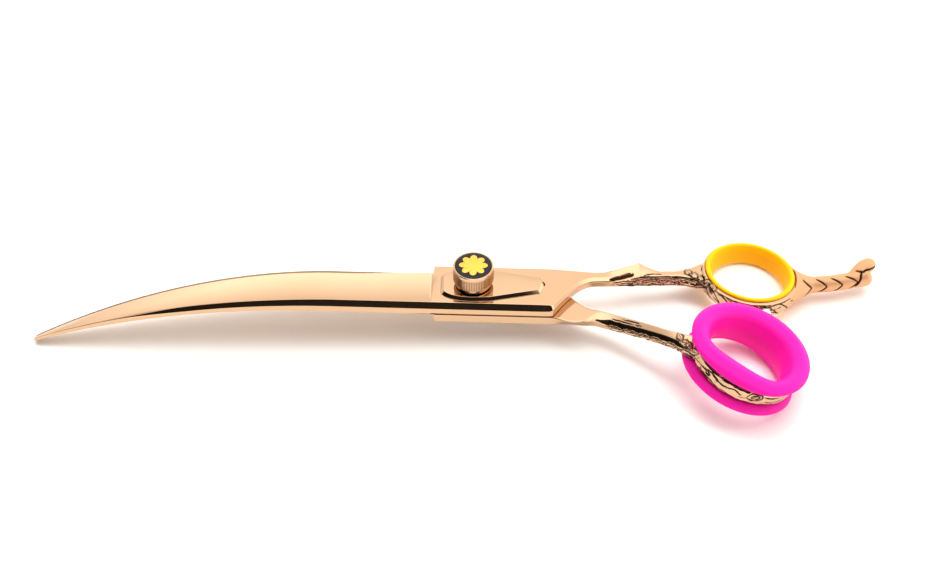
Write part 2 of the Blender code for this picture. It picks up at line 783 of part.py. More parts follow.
# Dial: a cup open below for the nut and springs, with a seat for the disc on top
groove_radius = CAVITY_RADIUS + RETAINER_GRIP + CLEARANCE
groove_bottom = RETAINER_BOTTOM - CLEARANCE
groove_top = RETAINER_BOTTOM + RETAINER_THICKNESS + CLEARANCE
knob_profile = [
    (0.0, DISC_SEAT),
    (KNOB_RADIUS - KNOB_RIM, DISC_SEAT),
    (KNOB_RADIUS - KNOB_RIM, KNOB_TOP),
    (KNOB_RADIUS - KNOB_CHAMFER, KNOB_TOP),
    (KNOB_RADIUS, KNOB_TOP - KNOB_CHAMFER),
    (KNOB_RADIUS, KNOB_BOTTOM + KNOB_CHAMFER),
    (KNOB_RADIUS - KNOB_CHAMFER, KNOB_BOTTOM),
    (CAVITY_RADIUS, KNOB_BOTTOM),
    (CAVITY_RADIUS, groove_bottom),
    (groove_radius, groove_bottom),
    (groove_radius, groove_top),
    (CAVITY_RADIUS, groove_top),
    (CAVITY_RADIUS, CAVITY_TOP),
    (0.0, CAVITY_TOP),
]
turned(add("tension_knob", profile("tension_knob", knob_profile, False), dial, ROSE_GOLD), KNOB_STEPS)
disc_radius = KNOB_RADIUS - KNOB_RIM - CLEARANCE
disc_bottom = DISC_TOP - DISC_THICKNESS
disc_profile = [(0.0, DISC_TOP), (disc_radius, DISC_TOP), (disc_radius, disc_bottom), (0.0, disc_bottom)]
turned(add("knob_disc", profile("knob_disc", disc_profile, False), dial, BLACK_ENAMEL), KNOB_STEPS)
nut_profile = collar(screw_room, CAVITY_RADIUS - CLEARANCE, NUT_BOTTOM, NUT_BOTTOM + NUT_HEIGHT)
turned(add("thread_insert", profile("thread_insert", nut_profile, True), dial, BRASS), PIVOT_STEPS)
retainer_outer = CAVITY_RADIUS + RETAINER_GRIP
retainer_profile = collar(
    retainer_outer - RETAINER_WIDTH, retainer_outer, RETAINER_BOTTOM, RETAINER_BOTTOM + RETAINER_THICKNESS
)
turned(add("retaining_ring", profile("retaining_ring", retainer_profile, True), dial, SPRING_STEEL), PIVOT_STEPS)


# Soft inserts
def mirrored_profile(upper):
    """Closed profile from its upper half, listed from the inside over the top to the outside."""
    return [*upper, *((radius, -z) for radius, z in reversed(upper))]


sleeve_half = FINGER_SLEEVE_HEIGHT / 2
lip = FINGER_SLEEVE_WALL / 4
finger_insert = turned(
    add(
        "finger_insert",
        profile(
            "finger_insert",
            mirrored_profile(
                [
                    (FINGER_HOLE, sleeve_half / 3),
                    (FINGER_HOLE + SLEEVE_FLARE / 2, sleeve_half - 2 * lip),
                    (FINGER_HOLE + SLEEVE_FLARE, sleeve_half - lip / 2),
                    (FINGER_SLEEVE - lip, sleeve_half),
                    (FINGER_SLEEVE, sleeve_half - lip),
                ]
            ),
            True,
        ),
        finger_half,
        YELLOW_SILICONE,
    ),
    RING_STEPS,
)
finger_insert.matrix_world = FINGER_PLACE

flange_low = THUMB_RING_HEIGHT / 2 + CLEARANCE
flange_middle = flange_low + FLANGE_THICKNESS / 2
flange_high = flange_low + FLANGE_THICKNESS
flange_round = FLANGE_THICKNESS / 4
thumb_insert = turned(
    add(
        "thumb_insert",
        profile(
            "thumb_insert",
            mirrored_profile(
                [
                    (THUMB_HOLE, flange_low / 3),
                    (THUMB_HOLE + FLANGE_FLARE / 6, flange_low),
                    (THUMB_HOLE + FLANGE_FLARE / 2, flange_middle),
                    (THUMB_HOLE + FLANGE_FLARE, flange_high - flange_round / 2),
                    (THUMB_HOLE + FLANGE_FLARE + flange_round, flange_high),
                    (FLANGE_REACH - flange_round, flange_high - flange_round),
                    (FLANGE_REACH, flange_middle),
                    (FLANGE_REACH - flange_round, flange_low + flange_round / 2),
                    (THUMB_OUTER - flange_round, flange_low),
                    (THUMB_SLEEVE, flange_low),
                ]
            ),
            True,
        ),
        thumb_half,
        PINK_SILICONE,
    ),
    RING_STEPS,
)
thumb_insert.matrix_world = THUMB_PLACE

# Bumper: a domed head on a stud that sits in the finger ring
head_foot = BUMPER_BOSS_PROUD + CLEARANCE
stud_foot = head_foot - BUMPER_STUD_LENGTH
bumper_profile = [(0.0, head_foot + BUMPER_HEIGHT)]
for step in range(1, BUMPER_DOME_STEPS + 1):
    angle = math.pi / 2 * step / BUMPER_DOME_STEPS
    rise = BUMPER_SIDE + (BUMPER_HEIGHT - BUMPER_SIDE) * math.cos(angle)
    bumper_profile.append((BUMPER_RADIUS * math.sin(angle), head_foot + rise))
bumper_profile += [
    (BUMPER_RADIUS, head_foot),
    (BUMPER_STUD_RADIUS, head_foot),
    (BUMPER_STUD_RADIUS, stud_foot),
    (0.0, stud_foot),
]
bumper = turned(
    add("bumper", profile("bumper", bumper_profile, False), finger_half, CLEAR_RUBBER), SMALL_STEPS
)
bumper.matrix_world = bumper_place()

for item in shears.objects:
    if item.type == "MESH":
        item.data.shade_smooth()
        item.data.set_sharp_from_angle(angle=math.radians(35.0))
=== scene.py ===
import math
import random
from types import SimpleNamespace

import bmesh
import bpy
import numpy as np
from mathutils import Matrix, Vector, noise
from mathutils.bvhtree import BVHTree
from mathutils.kdtree import KDTree


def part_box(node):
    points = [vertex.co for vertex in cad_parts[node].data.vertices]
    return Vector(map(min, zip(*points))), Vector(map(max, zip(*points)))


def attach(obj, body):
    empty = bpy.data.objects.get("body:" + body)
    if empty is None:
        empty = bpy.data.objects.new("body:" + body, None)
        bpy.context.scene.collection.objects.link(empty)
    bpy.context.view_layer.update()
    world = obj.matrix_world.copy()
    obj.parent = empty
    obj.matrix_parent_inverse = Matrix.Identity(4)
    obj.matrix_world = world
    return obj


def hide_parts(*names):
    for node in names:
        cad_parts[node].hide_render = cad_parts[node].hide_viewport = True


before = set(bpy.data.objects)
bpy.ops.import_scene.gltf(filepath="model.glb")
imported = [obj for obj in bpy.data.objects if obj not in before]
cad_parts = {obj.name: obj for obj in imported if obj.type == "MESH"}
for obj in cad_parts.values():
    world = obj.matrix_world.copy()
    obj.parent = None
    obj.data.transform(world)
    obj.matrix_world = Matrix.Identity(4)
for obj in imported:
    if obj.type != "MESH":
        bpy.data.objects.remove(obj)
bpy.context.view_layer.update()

# Table, surroundings and camera
# The shears lie closed on a white table, on the tip of the bowed blades and the pink insert. The room
# is white, brighter low at the back, dark around the camera and to its left, with a soft lamp overhead.
MM = 0.001
CAMERA_AZIMUTH = math.radians(2.1)
CAMERA_ELEVATION = math.radians(45.5)
CAMERA_PLACE = Vector((9.45, -246.27, 255.89)) * MM
TABLE_SIZE = 6.0
TABLE_LEVEL = -6.38 * MM  # under the pivot
TABLE_SLOPE = (0.0465, 0.155)  # along and across the shears
TABLE_BEND = 30.0 * MM  # the table bends down behind the shears, so that the opened blade stays clear of it
TABLE_BEND_RUN = 14.0 * MM
TABLE_FALL = 0.29
TABLE_ROWS = 24
TABLE_WHITE = (0.96, 0.935, 0.91, 1.0)
ROOM_TINT = (1.0, 0.95, 0.9)
ROOM_RANGE = 3.1
# Light of the room against the height of the direction, as a share of its range
ROOM_LIGHT = (
    (0.0, 0.64),
    (0.26, 0.76),
    (0.36, 0.66),
    (0.5, 0.44),
    (0.6, 0.46),
    (0.7, 0.53),
    (0.82, 0.56),
    (0.9, 0.74),
    (1.0, 0.8),
)
DARK_TURN = math.radians(-26.0)  # the dark zone is round the camera and to its left
DARK_SIDES = (0.32, 0.5)  # cosines of the turn from its middle at which the dark zone starts and is full
DARK_FLOOR = (0.08, 0.28)
DARK_CEILING = (0.87, 0.95)
DARK_DEPTH = 0.985
DIM_SIDE = (0.3, 0.7)  # the room is dimmer at the left, between these cosines of the turn from there
DIM_DEPTH = 0.4
KEY_ELEVATION = math.radians(83.0)
KEY_TURN = math.radians(28.0)
KEY_DISTANCE = 1.5
KEY_WIDTH = 1.6
KEY_HEIGHT = 0.45
KEY_LIGHT = 0.6  # against a white room
KEY_COLOUR = (0.92, 0.98, 1.0)


class Shade:
    """A shader socket that takes part in Python expressions."""

    def __init__(self, tree, socket=None):
        self.tree = tree
        self.socket = socket

    def node(self, kind, settings, sockets, output=0):
        """Add a node: its settings first, then the values or links of its sockets."""
        made = self.tree.nodes.new(kind)
        for name, value in settings.items():
            if name == "stops":
                for _ in range(len(value) - len(made.color_ramp.elements)):
                    made.color_ramp.elements.new(1.0)
                for stop, (place, level) in zip(made.color_ramp.elements, value):
                    stop.position = place
                    stop.color = (level, level, level, 1.0)
            else:
                setattr(made, name, value)
        for key, value in sockets.items():
            if isinstance(value, Shade):
                self.tree.links.new(value.socket, made.inputs[key])
            else:
                made.inputs[key].default_value = value
        return Shade(self.tree, made.outputs[output])

    def math(self, operation, left, right):
        return self.node("ShaderNodeMath", {"operation": operation}, {0: left, 1: right})

    def __add__(self, other):
        return self.math("ADD", self, other)

    def __sub__(self, other):
        return self.math("SUBTRACT", self, other)

    def __mul__(self, other):
        return self.math("MULTIPLY", self, other)

    def __radd__(self, other):
        return self.math("ADD", other, self)

    def __rsub__(self, other):
        return self.math("SUBTRACT", other, self)

    def __rmul__(self, other):
        return self.math("MULTIPLY", other, self)

    def feed(self, node, name):
        """Link this value to a node's socket."""
        self.tree.links.new(self.socket, node.inputs[name])


def smooth_range(shade, value, low, high):
    """0 below low, 1 above high, smooth between."""
    return shade.node(
        "ShaderNodeMapRange",
        {"interpolation_type": "SMOOTHSTEP"},
        {"Value": value, "From Min": low, "From Max": high},
    )


def facing(shade, direction, way):
    """Cosine between the shaded direction and a fixed one."""
    return shade.node(
        "ShaderNodeVectorMath", {"operation": "DOT_PRODUCT"}, {0: direction, 1: tuple(way)}, "Value"
    )


def mixed(shade, share, first, second):
    """Colour between two others."""
    first = first if isinstance(first, Shade) else (*first, 1.0)
    second = second if isinstance(second, Shade) else (*second, 1.0)
    return shade.node(
        "ShaderNodeMix", {"data_type": "RGBA"}, {"Factor": share, 6: first, 7: second}, 2
    )


scene = bpy.context.scene
scene.view_settings.view_transform = "Standard"

to_camera = Vector(
    (
        math.sin(CAMERA_AZIMUTH) * math.cos(CAMERA_ELEVATION),
        -math.cos(CAMERA_AZIMUTH) * math.cos(CAMERA_ELEVATION),
        math.sin(CAMERA_ELEVATION),
    )
)
lens = bpy.data.cameras.new("camera")
lens.lens = 50.0
lens.sensor_width = 36.0
lens.clip_start = 0.01
camera = bpy.data.objects.new("camera", lens)
scene.collection.objects.link(camera)
camera.location = CAMERA_PLACE
camera.rotation_euler = (-to_camera).to_track_quat("-Z", "Y").to_euler()
scene.camera = camera

world = bpy.data.worlds.new("white_room")
world.use_nodes = True
scene.world = world
room = Shade(world.node_tree)
background = world.node_tree.nodes["Background"]
way = room.node("ShaderNodeTexCoord", {}, {}, "Generated")
height = facing(room, way, (0.0, 0.0, 1.0))
level_way = room.node("ShaderNodeVectorMath", {"operation": "MULTIPLY"}, {0: way, 1: (1.0, 1.0, 0.0)})
level_way = room.node("ShaderNodeVectorMath", {"operation": "NORMALIZE"}, {0: level_way})
dark_way = (math.sin(DARK_TURN), -math.cos(DARK_TURN), 0.0)
dark = smooth_range(room, facing(room, level_way, dark_way), *DARK_SIDES)
dark = dark * smooth_range(room, height, *DARK_FLOOR) * (1.0 - smooth_range(room, height, *DARK_CEILING))
room_light = room.node("ShaderNodeValToRGB", {"stops": ROOM_LIGHT}, {"Fac": height})
dim = smooth_range(room, facing(room, way, (-1.0, 0.0, 0.0)), *DIM_SIDE)
lit = ROOM_RANGE * room_light * (1.0 - DARK_DEPTH * dark) * (1.0 - DIM_DEPTH * dim)
camera_ray = room.node("ShaderNodeLightPath", {}, {}, "Is Camera Ray")
strength = lit * (1.0 - camera_ray) + camera_ray
strength.feed(background, "Strength")
mixed(room, camera_ray, ROOM_TINT, (1.0, 1.0, 1.0)).feed(background, "Color")

key = bpy.data.lights.new("key", "AREA")
key.shape = "RECTANGLE"
key.size = KEY_WIDTH
key.size_y = KEY_HEIGHT
key.energy = KEY_LIGHT * math.pi**2 * KEY_DISTANCE**2
key.color = KEY_COLOUR
key_lamp = bpy.data.objects.new("key", key)
scene.collection.objects.link(key_lamp)
key_way = Vector(
    (
        math.sin(KEY_TURN) * math.cos(KEY_ELEVATION),
        math.cos(KEY_TURN) * math.cos(KEY_ELEVATION),
        math.sin(KEY_ELEVATION),
    )
)
key_lamp.location = key_way * KEY_DISTANCE
key_lamp.rotation_euler = key_way.to_track_quat("Z", "Y").to_euler()
key_lamp.visible_glossy = False

bpy.ops.object.select_all(action="DESELECT")
bpy.ops.mesh.primitive_grid_add(x_subdivisions=1, y_subdivisions=TABLE_ROWS, size=TABLE_SIZE)
table = bpy.context.object
table.name = "table"
for vertex in table.data.vertices:
    share = vertex.co.y / (TABLE_SIZE / 2)
    # The inner rows lie close together along the bend, and the outermost two at the table's ends
    past = share * (TABLE_BEND_RUN if abs(share) < 0.99 else TABLE_SIZE / 2)
    bent = max(past + TABLE_BEND_RUN, 0.0) ** 2 / (4 * TABLE_BEND_RUN) if past < TABLE_BEND_RUN else past
    vertex.co.y = TABLE_BEND + past
    rise = TABLE_SLOPE[0] * vertex.co.x + TABLE_SLOPE[1] * vertex.co.y
    vertex.co.z = TABLE_LEVEL + rise - TABLE_FALL * bent
bpy.ops.object.shade_smooth()
table_white = bpy.data.materials.new("table_white")
table_white.use_nodes = True
paint = Shade(table_white.node_tree)
table_white.node_tree.nodes.remove(table_white.node_tree.nodes["Principled BSDF"])
matte = paint.node("ShaderNodeBsdfDiffuse", {}, {"Color": TABLE_WHITE})
matte.feed(table_white.node_tree.nodes["Material Output"], "Surface")
table.data.materials.append(table_white)

# Rose-gold finish
# Polished steel under a thin rose-gold coating, mirror bright, with faint polishing marks. The cuts
# of the carving are left dark with patina, a few places get painted shade in the same dark colour, and the
# tang is satin: point attributes for the dark and for the satin say where.
ROSE_GOLD = (0.62, 0.415, 0.262)
ROSE_DEEP = (0.60, 0.385, 0.232)
SATIN_GOLD = (0.74, 0.425, 0.235)
# Dark colour of the patina in the cuts, also used as painted shade on the thumb's inner face and round the
# plate's tail
PATINA_AND_SHADE = (0.035, 0.014, 0.008)
POLISH_ROUGHNESS = 0.075
PATINA_ROUGHNESS = 0.42
SATIN_ROUGHNESS = 0.5


def principled(name, **sockets):
    """A material with fixed sockets, its shader and a start for expressions."""
    material = bpy.data.materials.new(name)
    material.use_nodes = True
    shader = material.node_tree.nodes["Principled BSDF"]
    for socket, value in sockets.items():
        shader.inputs[socket.replace("_", " ")].default_value = value
    return material, shader, Shade(material.node_tree)


def object_noise(shade, scale, detail, stretch=(1.0, 1.0, 1.0)):
    """Noise on Object coordinates, about 0 to 1."""
    place = shade.node("ShaderNodeTexCoord", {}, {}, "Object")
    spread = shade.node("ShaderNodeMapping", {}, {"Vector": place, "Scale": stretch})
    return shade.node("ShaderNodeTexNoise", {}, {"Vector": spread, "Scale": scale, "Detail": detail})


def bump(shade, height, strength, distance):
    """Normal from a height."""
    return shade.node(
        "ShaderNodeBump", {}, {"Height": height, "Strength": strength, "Distance": distance}
    )


def rose_gold_finish():
    material, shader, shade = principled("rose_gold", Metallic=1.0)
    cloud = object_noise(shade, 60.0, 2.0)
    marks = object_noise(shade, 900.0, 3.0, (0.12, 1.0, 1.0))
    patina = shade.node("ShaderNodeAttribute", {"attribute_name": "patina"}, {}, "Fac")
    satin = shade.node("ShaderNodeAttribute", {"attribute_name": "satin"}, {}, "Fac")
    gold = mixed(shade, satin, mixed(shade, cloud, ROSE_GOLD, ROSE_DEEP), SATIN_GOLD)
    mixed(shade, patina, gold, PATINA_AND_SHADE).feed(shader, "Base Color")
    roughness = POLISH_ROUGHNESS + 0.05 * marks + PATINA_ROUGHNESS * patina + SATIN_ROUGHNESS * satin
    roughness.feed(shader, "Roughness")
    bump(shade, marks + 0.5 * cloud, 0.03, 0.02 * MM).feed(shader, "Normal")
    return material


rose_gold = rose_gold_finish()

# Pattern of the halves
# Each half is one forging: a ground blade that bows down towards its tip, a flat ricasso round the
# pivot, a shank, and a ring. Sections run from the tip to the ring, each over the half's inner face.
BLADE_LENGTH = -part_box("finger_blade")[0].x / MM
HALF_THICKNESS = 2.9
TIP_THICKNESS = 1.0
TIP_ROUND = 0.8
EDGE_THICKNESS = 0.3
EDGE_STEP = 1.0  # how far one blade's edge lies inside the other's spine
EDGE_STEP_RUN = 24.0
HEEL = 10.8  # pivot to the end of the finger blade's ground face
HEEL_RUN = 1.5
FACE_CROWN = 0.22
FRONT_REACH = 7.95
BACK_REACH = 7.1
SPINE_WALL = 1.72
WALL_LEAN = 0.2  # the spine's wall stands out at its foot
SPINE_BEVEL = 1.45
BEVEL_FADE = (-100.0, -75.0)  # the bevel rounds off along here, towards the tip
BOW_START = 41.0  # pivot to where the blades start to bow down
BOW_RADIUS = 215.5
TAPER_START = 38.0  # pivot to where the blades start to narrow
TAPER = 12.7
TAPER_CURVE = 1.72
CORNER = 0.25
CROTCH_START = 21.2
CROTCH_LENGTH = 11.2
SHANK_WIDTH = 4.4
SHANK_HEIGHT = 3.4
SHANK_ROUND = 0.3
SHANK_LEAN = (38.0, 47.0)  # the finger shank's front leans back more and more along here
FLARE_LENGTH = 8.5
ROUNDING = 0.1  # of the corners of a section
BEVEL_ROUNDING = (0.07, 0.75)  # along the blade and at its tip
EDGE_ROUNDING = 0.03
SHANK_ROUNDING = 0.22  # added to it along a shank
CORNER_POINTS = 4
SIDE_SHARES = (0.03, 0.1, 0.22, 0.36, 0.5, 0.64, 0.78, 0.9, 0.97)
STITCH = 0.0001 * MM
FILLET_REACH = 0.75  # how far from a weld its hollow is rounded off
FILLET_PASSES = 14
STROKE_POINTS = 90
RIB_WIDTH = 0.14  # of a leaf's rib, against half the leaf's width
RIB_DEPTH = 0.5
RIB_DARK = 0.8


def blend(low, high, share):
    return low + (high - low) * share


def ease(value, low, high):
    """0 below low, 1 above high, smooth between."""
    share = np.clip((value - low) / (high - low), 0.0, 1.0)
    return share * share * (3.0 - 2.0 * share)


def taper_share(x):
    """0 up to where the blades start to narrow, 1 at the tip."""
    return np.clip((-TAPER_START - x) / (BLADE_LENGTH - TAPER_START), 0.0, 1.0)


def front_line(x):
    """Straight front of the closed blades."""
    return np.full_like(x, -FRONT_REACH)


def back_line(x):
    """Tapering back of the closed blades."""
    return BACK_REACH - TAPER * taper_share(x) ** TAPER_CURVE


def bow(x, y):
    """Drop of the bowed blades, the same all round the pivot so that they stay clear as they turn."""
    past = np.where(x < 0.0, np.clip(np.hypot(x, y) - BOW_START, 0.0, None), 0.0)
    return BOW_RADIUS - np.sqrt(BOW_RADIUS * BOW_RADIUS - past * past)


def edge_inset(x):
    return EDGE_STEP * ease(-x, HEEL, HEEL + EDGE_STEP_RUN)


def half_stations(half):
    """Places of the sections along the half, closer together where the shape changes."""
    runs = (
        (-BLADE_LENGTH, -BLADE_LENGTH + TIP_ROUND, 14),
        (-BLADE_LENGTH + TIP_ROUND, -half.heel - HEEL_RUN, 92),
        (-half.heel - HEEL_RUN, -half.heel + 0.1, 14),
        (-half.heel + 0.1, CROTCH_START - 1.0, 14),
        (CROTCH_START - 1.0, CROTCH_START + CROTCH_LENGTH, 56),
        (CROTCH_START + CROTCH_LENGTH, half.ring_end.x, 190),
    )
    parts = [np.linspace(start, end, count, endpoint=False) for start, end, count in runs]
    return np.append(np.concatenate(parts), half.ring_end.x)


def shank_line(half, x):
    """Across and up of the shank's middle, on one smooth curve from the crotch to the ring."""
    start = CROTCH_START + CROTCH_LENGTH
    share = np.clip((x - start) / (half.ring_end.x - start), 0.0, 1.0)
    rest = 1.0 - share
    begin = np.array((half.offset, HALF_THICKNESS / 2))
    end = np.array((half.ring_end.y, half.outward * (half.ring_end.z - half.inner)))
    leave = begin + np.array(((end[0] - begin[0]) / 5, 0.0))
    arrive = end - np.array(((end[0] - begin[0]) / 3, 0.0))
    weights = (rest**3, 3 * rest * rest * share, 3 * rest * share * share, share**3)
    return sum(weight[:, None] * point for weight, point in zip(weights, (begin, leave, arrive, end)))


def blade_corners(half, x):
    """Corners of the ground blade: upright spine, bevel, face falling to the edge, flat inner face."""
    spine = half.spine(x)
    edge = half.edge(x)
    thickness = blend(HALF_THICKNESS, TIP_THICKNESS, taper_share(x))
    scale = thickness / HALF_THICKNESS
    width = np.abs(edge - spine)
    crisp = 0.3 + 0.7 * ease(x, *BEVEL_FADE)
    bevel = np.minimum(SPINE_BEVEL * scale, width / 3) * crisp
    wall = thickness - (thickness - SPINE_WALL * scale) * crisp
    none = np.zeros_like(x)
    rows = (
        (none - WALL_LEAN * scale, none),
        (none, wall),
        (bevel, thickness),
        (width - CORNER * scale, EDGE_THICKNESS * scale),
        (width, EDGE_THICKNESS * scale / 2),
        (width, none),
        (width * 2 / 3, none),
        (width / 3, none),
    )
    side = np.sign(edge - spine)
    round_off = np.sqrt(np.clip(1.0 - (1.0 - (x + BLADE_LENGTH) / TIP_ROUND).clip(0.0) ** 2, 0.001, 1.0))
    middle = (spine + edge) / 2
    return np.stack(
        [
            np.stack([middle + (spine + side * across - middle) * round_off, up * round_off], axis=1)
            for across, up in rows
        ],
        axis=1,
    )


def bar_corners(half, x):
    """Corners of the ricasso, the crotch and the shank."""
    sign = math.copysign(1.0, half.offset)
    flat_spine = half.spine(np.zeros(1))[0]
    flat_edge = half.edge(np.zeros(1))[0]
    share = np.clip((x - CROTCH_START) / CROTCH_LENGTH, 0.0, 1.0)
    middle = shank_line(half, x)
    spread = np.clip(1.0 - (half.ring_end.x - x) / FLARE_LENGTH, 0.0, 1.0)
    reach = SHANK_WIDTH / 2 + half.flare / 2 * spread**2
    spine = blend(flat_spine, middle[:, 0] - sign * reach, np.sin(share * math.pi / 2))
    edge = blend(flat_edge, middle[:, 0] + sign * reach, share)
    low = blend(0.0, middle[:, 1] - SHANK_HEIGHT / 2, share)
    high = blend(HALF_THICKNESS, middle[:, 1] + SHANK_HEIGHT / 2, share)
    width = np.abs(edge - spine)
    wide = SHANK_ROUND * SHANK_WIDTH
    tall = SHANK_ROUND * SHANK_HEIGHT
    past_bevel = ease(x, CROTCH_START - 1.4, CROTCH_START + 0.3)
    lean = half.lean * ease(x, *SHANK_LEAN)
    bevel = blend(SPINE_BEVEL, half.band_width - 0.6 * lean, past_bevel)
    drop = blend(HALF_THICKNESS - SPINE_WALL, half.band_drop, past_bevel)
    corner = blend(CORNER, wide, share)
    corner_drop = blend(CORNER, tall, share)
    rows = (
        (-WALL_LEAN * (1.0 - past_bevel), low + corner_drop),
        (lean, high - drop),
        (lean + bevel, high),
        *half.far_side(x, width, low, high, corner, corner_drop),
        (corner, low),
    )
    side = np.sign(edge - spine)
    return np.stack([np.stack([spine + side * across, up], axis=1) for across, up in rows], axis=1)


def rounded(corners, setback, crown):
    """Sections through corners that are each rounded off, with more points beside each corner."""
    before = np.roll(corners, 1, axis=1) - corners
    after = np.roll(corners, -1, axis=1) - corners
    before_length = np.linalg.norm(before, axis=2, keepdims=True) + 1e-9
    after_length = np.linalg.norm(after, axis=2, keepdims=True) + 1e-9
    begin = corners + before * np.minimum(setback[..., None] / before_length, 0.45)
    end = corners + after * np.minimum(setback[..., None] / after_length, 0.45)
    points = []
    for index in range(corners.shape[1]):
        for share in np.linspace(0.0, 1.0, CORNER_POINTS):
            rest = 1.0 - share
            points.append(
                rest * rest * begin[:, index]
                + 2 * rest * share * corners[:, index]
                + share * share * end[:, index]
            )
        following = begin[:, (index + 1) % corners.shape[1]]
        # The blade's face lies between the corners 2 and 3, and only it is crowned
        for share in SIDE_SHARES:
            point = blend(end[:, index], following, share)
            if index == 2:
                point[:, 1] += crown * 4.0 * share * (1.0 - share)
            points.append(point)
    return np.stack(points, axis=1)


def onto_ring(half, grid, end_x, side):
    """Moves along X that lay the end of a bar, met at end_x, on the middle of its ring's wall."""
    inverse = np.array(half.ring_place.inverted())
    local = grid @ inverse[:3, :3].T + inverse[:3, 3]
    local[..., 0] = side * np.sqrt(np.clip(half.ring_middle**2 - local[..., 1] ** 2, 1.0, None))
    outward = np.array(half.ring_place)
    wrapped = local @ outward[:3, :3].T + outward[:3, 3]
    moves = np.zeros_like(grid)
    moves[..., 0] = wrapped[..., 0] - end_x
    return moves


def half_grid(half):
    """Rows of points over one half's blade, ricasso and shank, in millimetres."""
    x = half_stations(half)
    ground = 1.0 - np.clip((x + half.heel + HEEL_RUN) / HEEL_RUN, 0.0, 1.0) ** 6
    corners = blend(bar_corners(half, x), blade_corners(half, x), ground[:, None, None])
    setback = np.full(corners.shape[:2], ROUNDING)
    setback[:, 1:3] = blend(*BEVEL_ROUNDING, 1.0 - ease(x, *BEVEL_FADE))[:, None]
    setback[:, 3:6] = blend(EDGE_ROUNDING, ROUNDING, 1.0 - ground)[:, None]
    shank = ease(x, CROTCH_START - 0.5, CROTCH_START + 4.0)
    setback += (SHANK_ROUNDING * shank)[:, None]
    sections = rounded(corners, setback, FACE_CROWN * ground * (1.0 - 0.5 * taper_share(x)))
    grid = np.empty((*sections.shape[:2], 3))
    grid[..., 0] = x[:, None]
    grid[..., 1] = sections[..., 0]
    grid[..., 2] = half.inner + half.outward * sections[..., 1] - bow(grid[..., 0], grid[..., 1])
    near_ring = ease(x, half.ring_end.x - 3.5, half.ring_end.x)[:, None, None]
    return x, grid + onto_ring(half, grid, half.ring_end.x, -1.0) * near_ring


def skin(name, grid, ring):
    """Closed skin over rows of points: a grid primitive laid over them, then stitched and closed."""
    if ring:
        grid = np.concatenate([grid, grid[:1]])
    grid = np.concatenate([grid, grid[:, :1]], axis=1)
    bpy.ops.object.select_all(action="DESELECT")
    bpy.ops.mesh.primitive_grid_add(x_subdivisions=grid.shape[1] - 1, y_subdivisions=grid.shape[0] - 1)
    item = bpy.context.object
    item.name = name
    item.data.name = name
    item.data.vertices.foreach_set("co", (grid * MM).astype(np.float32).ravel())
    bpy.ops.object.mode_set(mode="EDIT")
    bpy.ops.mesh.select_all(action="SELECT")
    bpy.ops.mesh.remove_doubles(threshold=STITCH)
    bpy.ops.mesh.fill_holes(sides=0)
    bpy.ops.mesh.normals_make_consistent(inside=False)
    bpy.ops.object.mode_set(mode="OBJECT")
    return item


def ring_place(centre, tilt, turn, oval):
    """Frame of an oval ring: its own X is stretched, turned in its plane, then tilted."""
    turning = Matrix.Rotation(tilt, 4, "Y") @ Matrix.Rotation(turn, 4, "Z")
    return Matrix.Translation(centre) @ turning @ Matrix.Diagonal((oval, 1.0, 1.0, 1.0))


def ring_grid(place, outline, setback, steps):
    """Rows of points round an oval ring, from the corners of its profile at each turn."""
    turns = np.linspace(0.0, 2 * math.pi, steps, endpoint=False)
    corners = np.array([outline(turn) for turn in turns])
    sections = rounded(corners, np.full(corners.shape[:2], setback), 0.0)
    local = np.empty((*sections.shape[:2], 3))
    local[..., 0] = np.cos(turns)[:, None] * sections[..., 0]
    local[..., 1] = np.sin(turns)[:, None] * sections[..., 0]
    local[..., 2] = sections[..., 1]
    matrix = np.array(place)
    return local @ matrix[:3, :3].T + matrix[:3, 3]


def weld(item, others):
    """Unite solids with the item, and round off the hollows where they meet."""
    trees = []
    for solid in (item, *others):
        solid_mesh = bmesh.new()
        solid_mesh.from_mesh(solid.data)
        trees.append(BVHTree.FromBMesh(solid_mesh))
        solid_mesh.free()
    bpy.ops.object.select_all(action="DESELECT")
    bpy.context.view_layer.objects.active = item
    item.select_set(True)
    for other in others:
        union = item.modifiers.new("weld", "BOOLEAN")
        union.operation = "UNION"
        union.object = other
        bpy.ops.object.modifier_apply(modifier=union.name)
        bpy.data.objects.remove(other)
    reach = FILLET_REACH * MM
    close = []
    for vertex in item.data.vertices:
        touched = sum(1 for tree in trees if tree.find_nearest(vertex.co, reach)[0] is not None)
        close.append(touched > 1)
    for chosen in (item.data.edges, item.data.polygons):
        chosen.foreach_set("select", [False] * len(chosen))
    item.data.vertices.foreach_set("select", close)
    bpy.ops.object.mode_set(mode="EDIT")
    bpy.ops.mesh.vertices_smooth(factor=0.5, repeat=FILLET_PASSES)
    bpy.ops.object.mode_set(mode="OBJECT")


def on_skin(grid, rows, columns):
    """Points on a skin, between its rows and columns."""
    row = np.floor(rows).astype(int)
    column = np.floor(columns).astype(int)
    along = (rows - row)[:, None]
    across = (columns - column)[:, None]
    count = grid.shape[1]
    next_row = (row + 1) % grid.shape[0]
    row = row % grid.shape[0]
    near = blend(grid[row, column % count], grid[row, (column + 1) % count], across)
    far = blend(grid[next_row, column % count], grid[next_row, (column + 1) % count], across)
    return blend(near, far, along)


def around_column(around):
    """Column of a place round a section, counted in corners."""
    return np.asarray(around) * (CORNER_POINTS + len(SIDE_SHARES)) + (CORNER_POINTS - 1) / 2


def stroke(points):
    """A smooth line through a few points, as many points close together."""
    line = np.array(points, float)
    for _ in range(3):
        early = blend(line[:-1], line[1:], 0.25)
        late = blend(line[:-1], line[1:], 0.75)
        middle = np.stack([early, late], axis=1).reshape(-1, line.shape[1])
        line = np.concatenate([line[:1], middle, line[-1:]])
    place = np.linspace(0.0, len(line) - 1, STROKE_POINTS)
    return np.stack([np.interp(place, np.arange(len(line)), axis) for axis in line.T], axis=1)


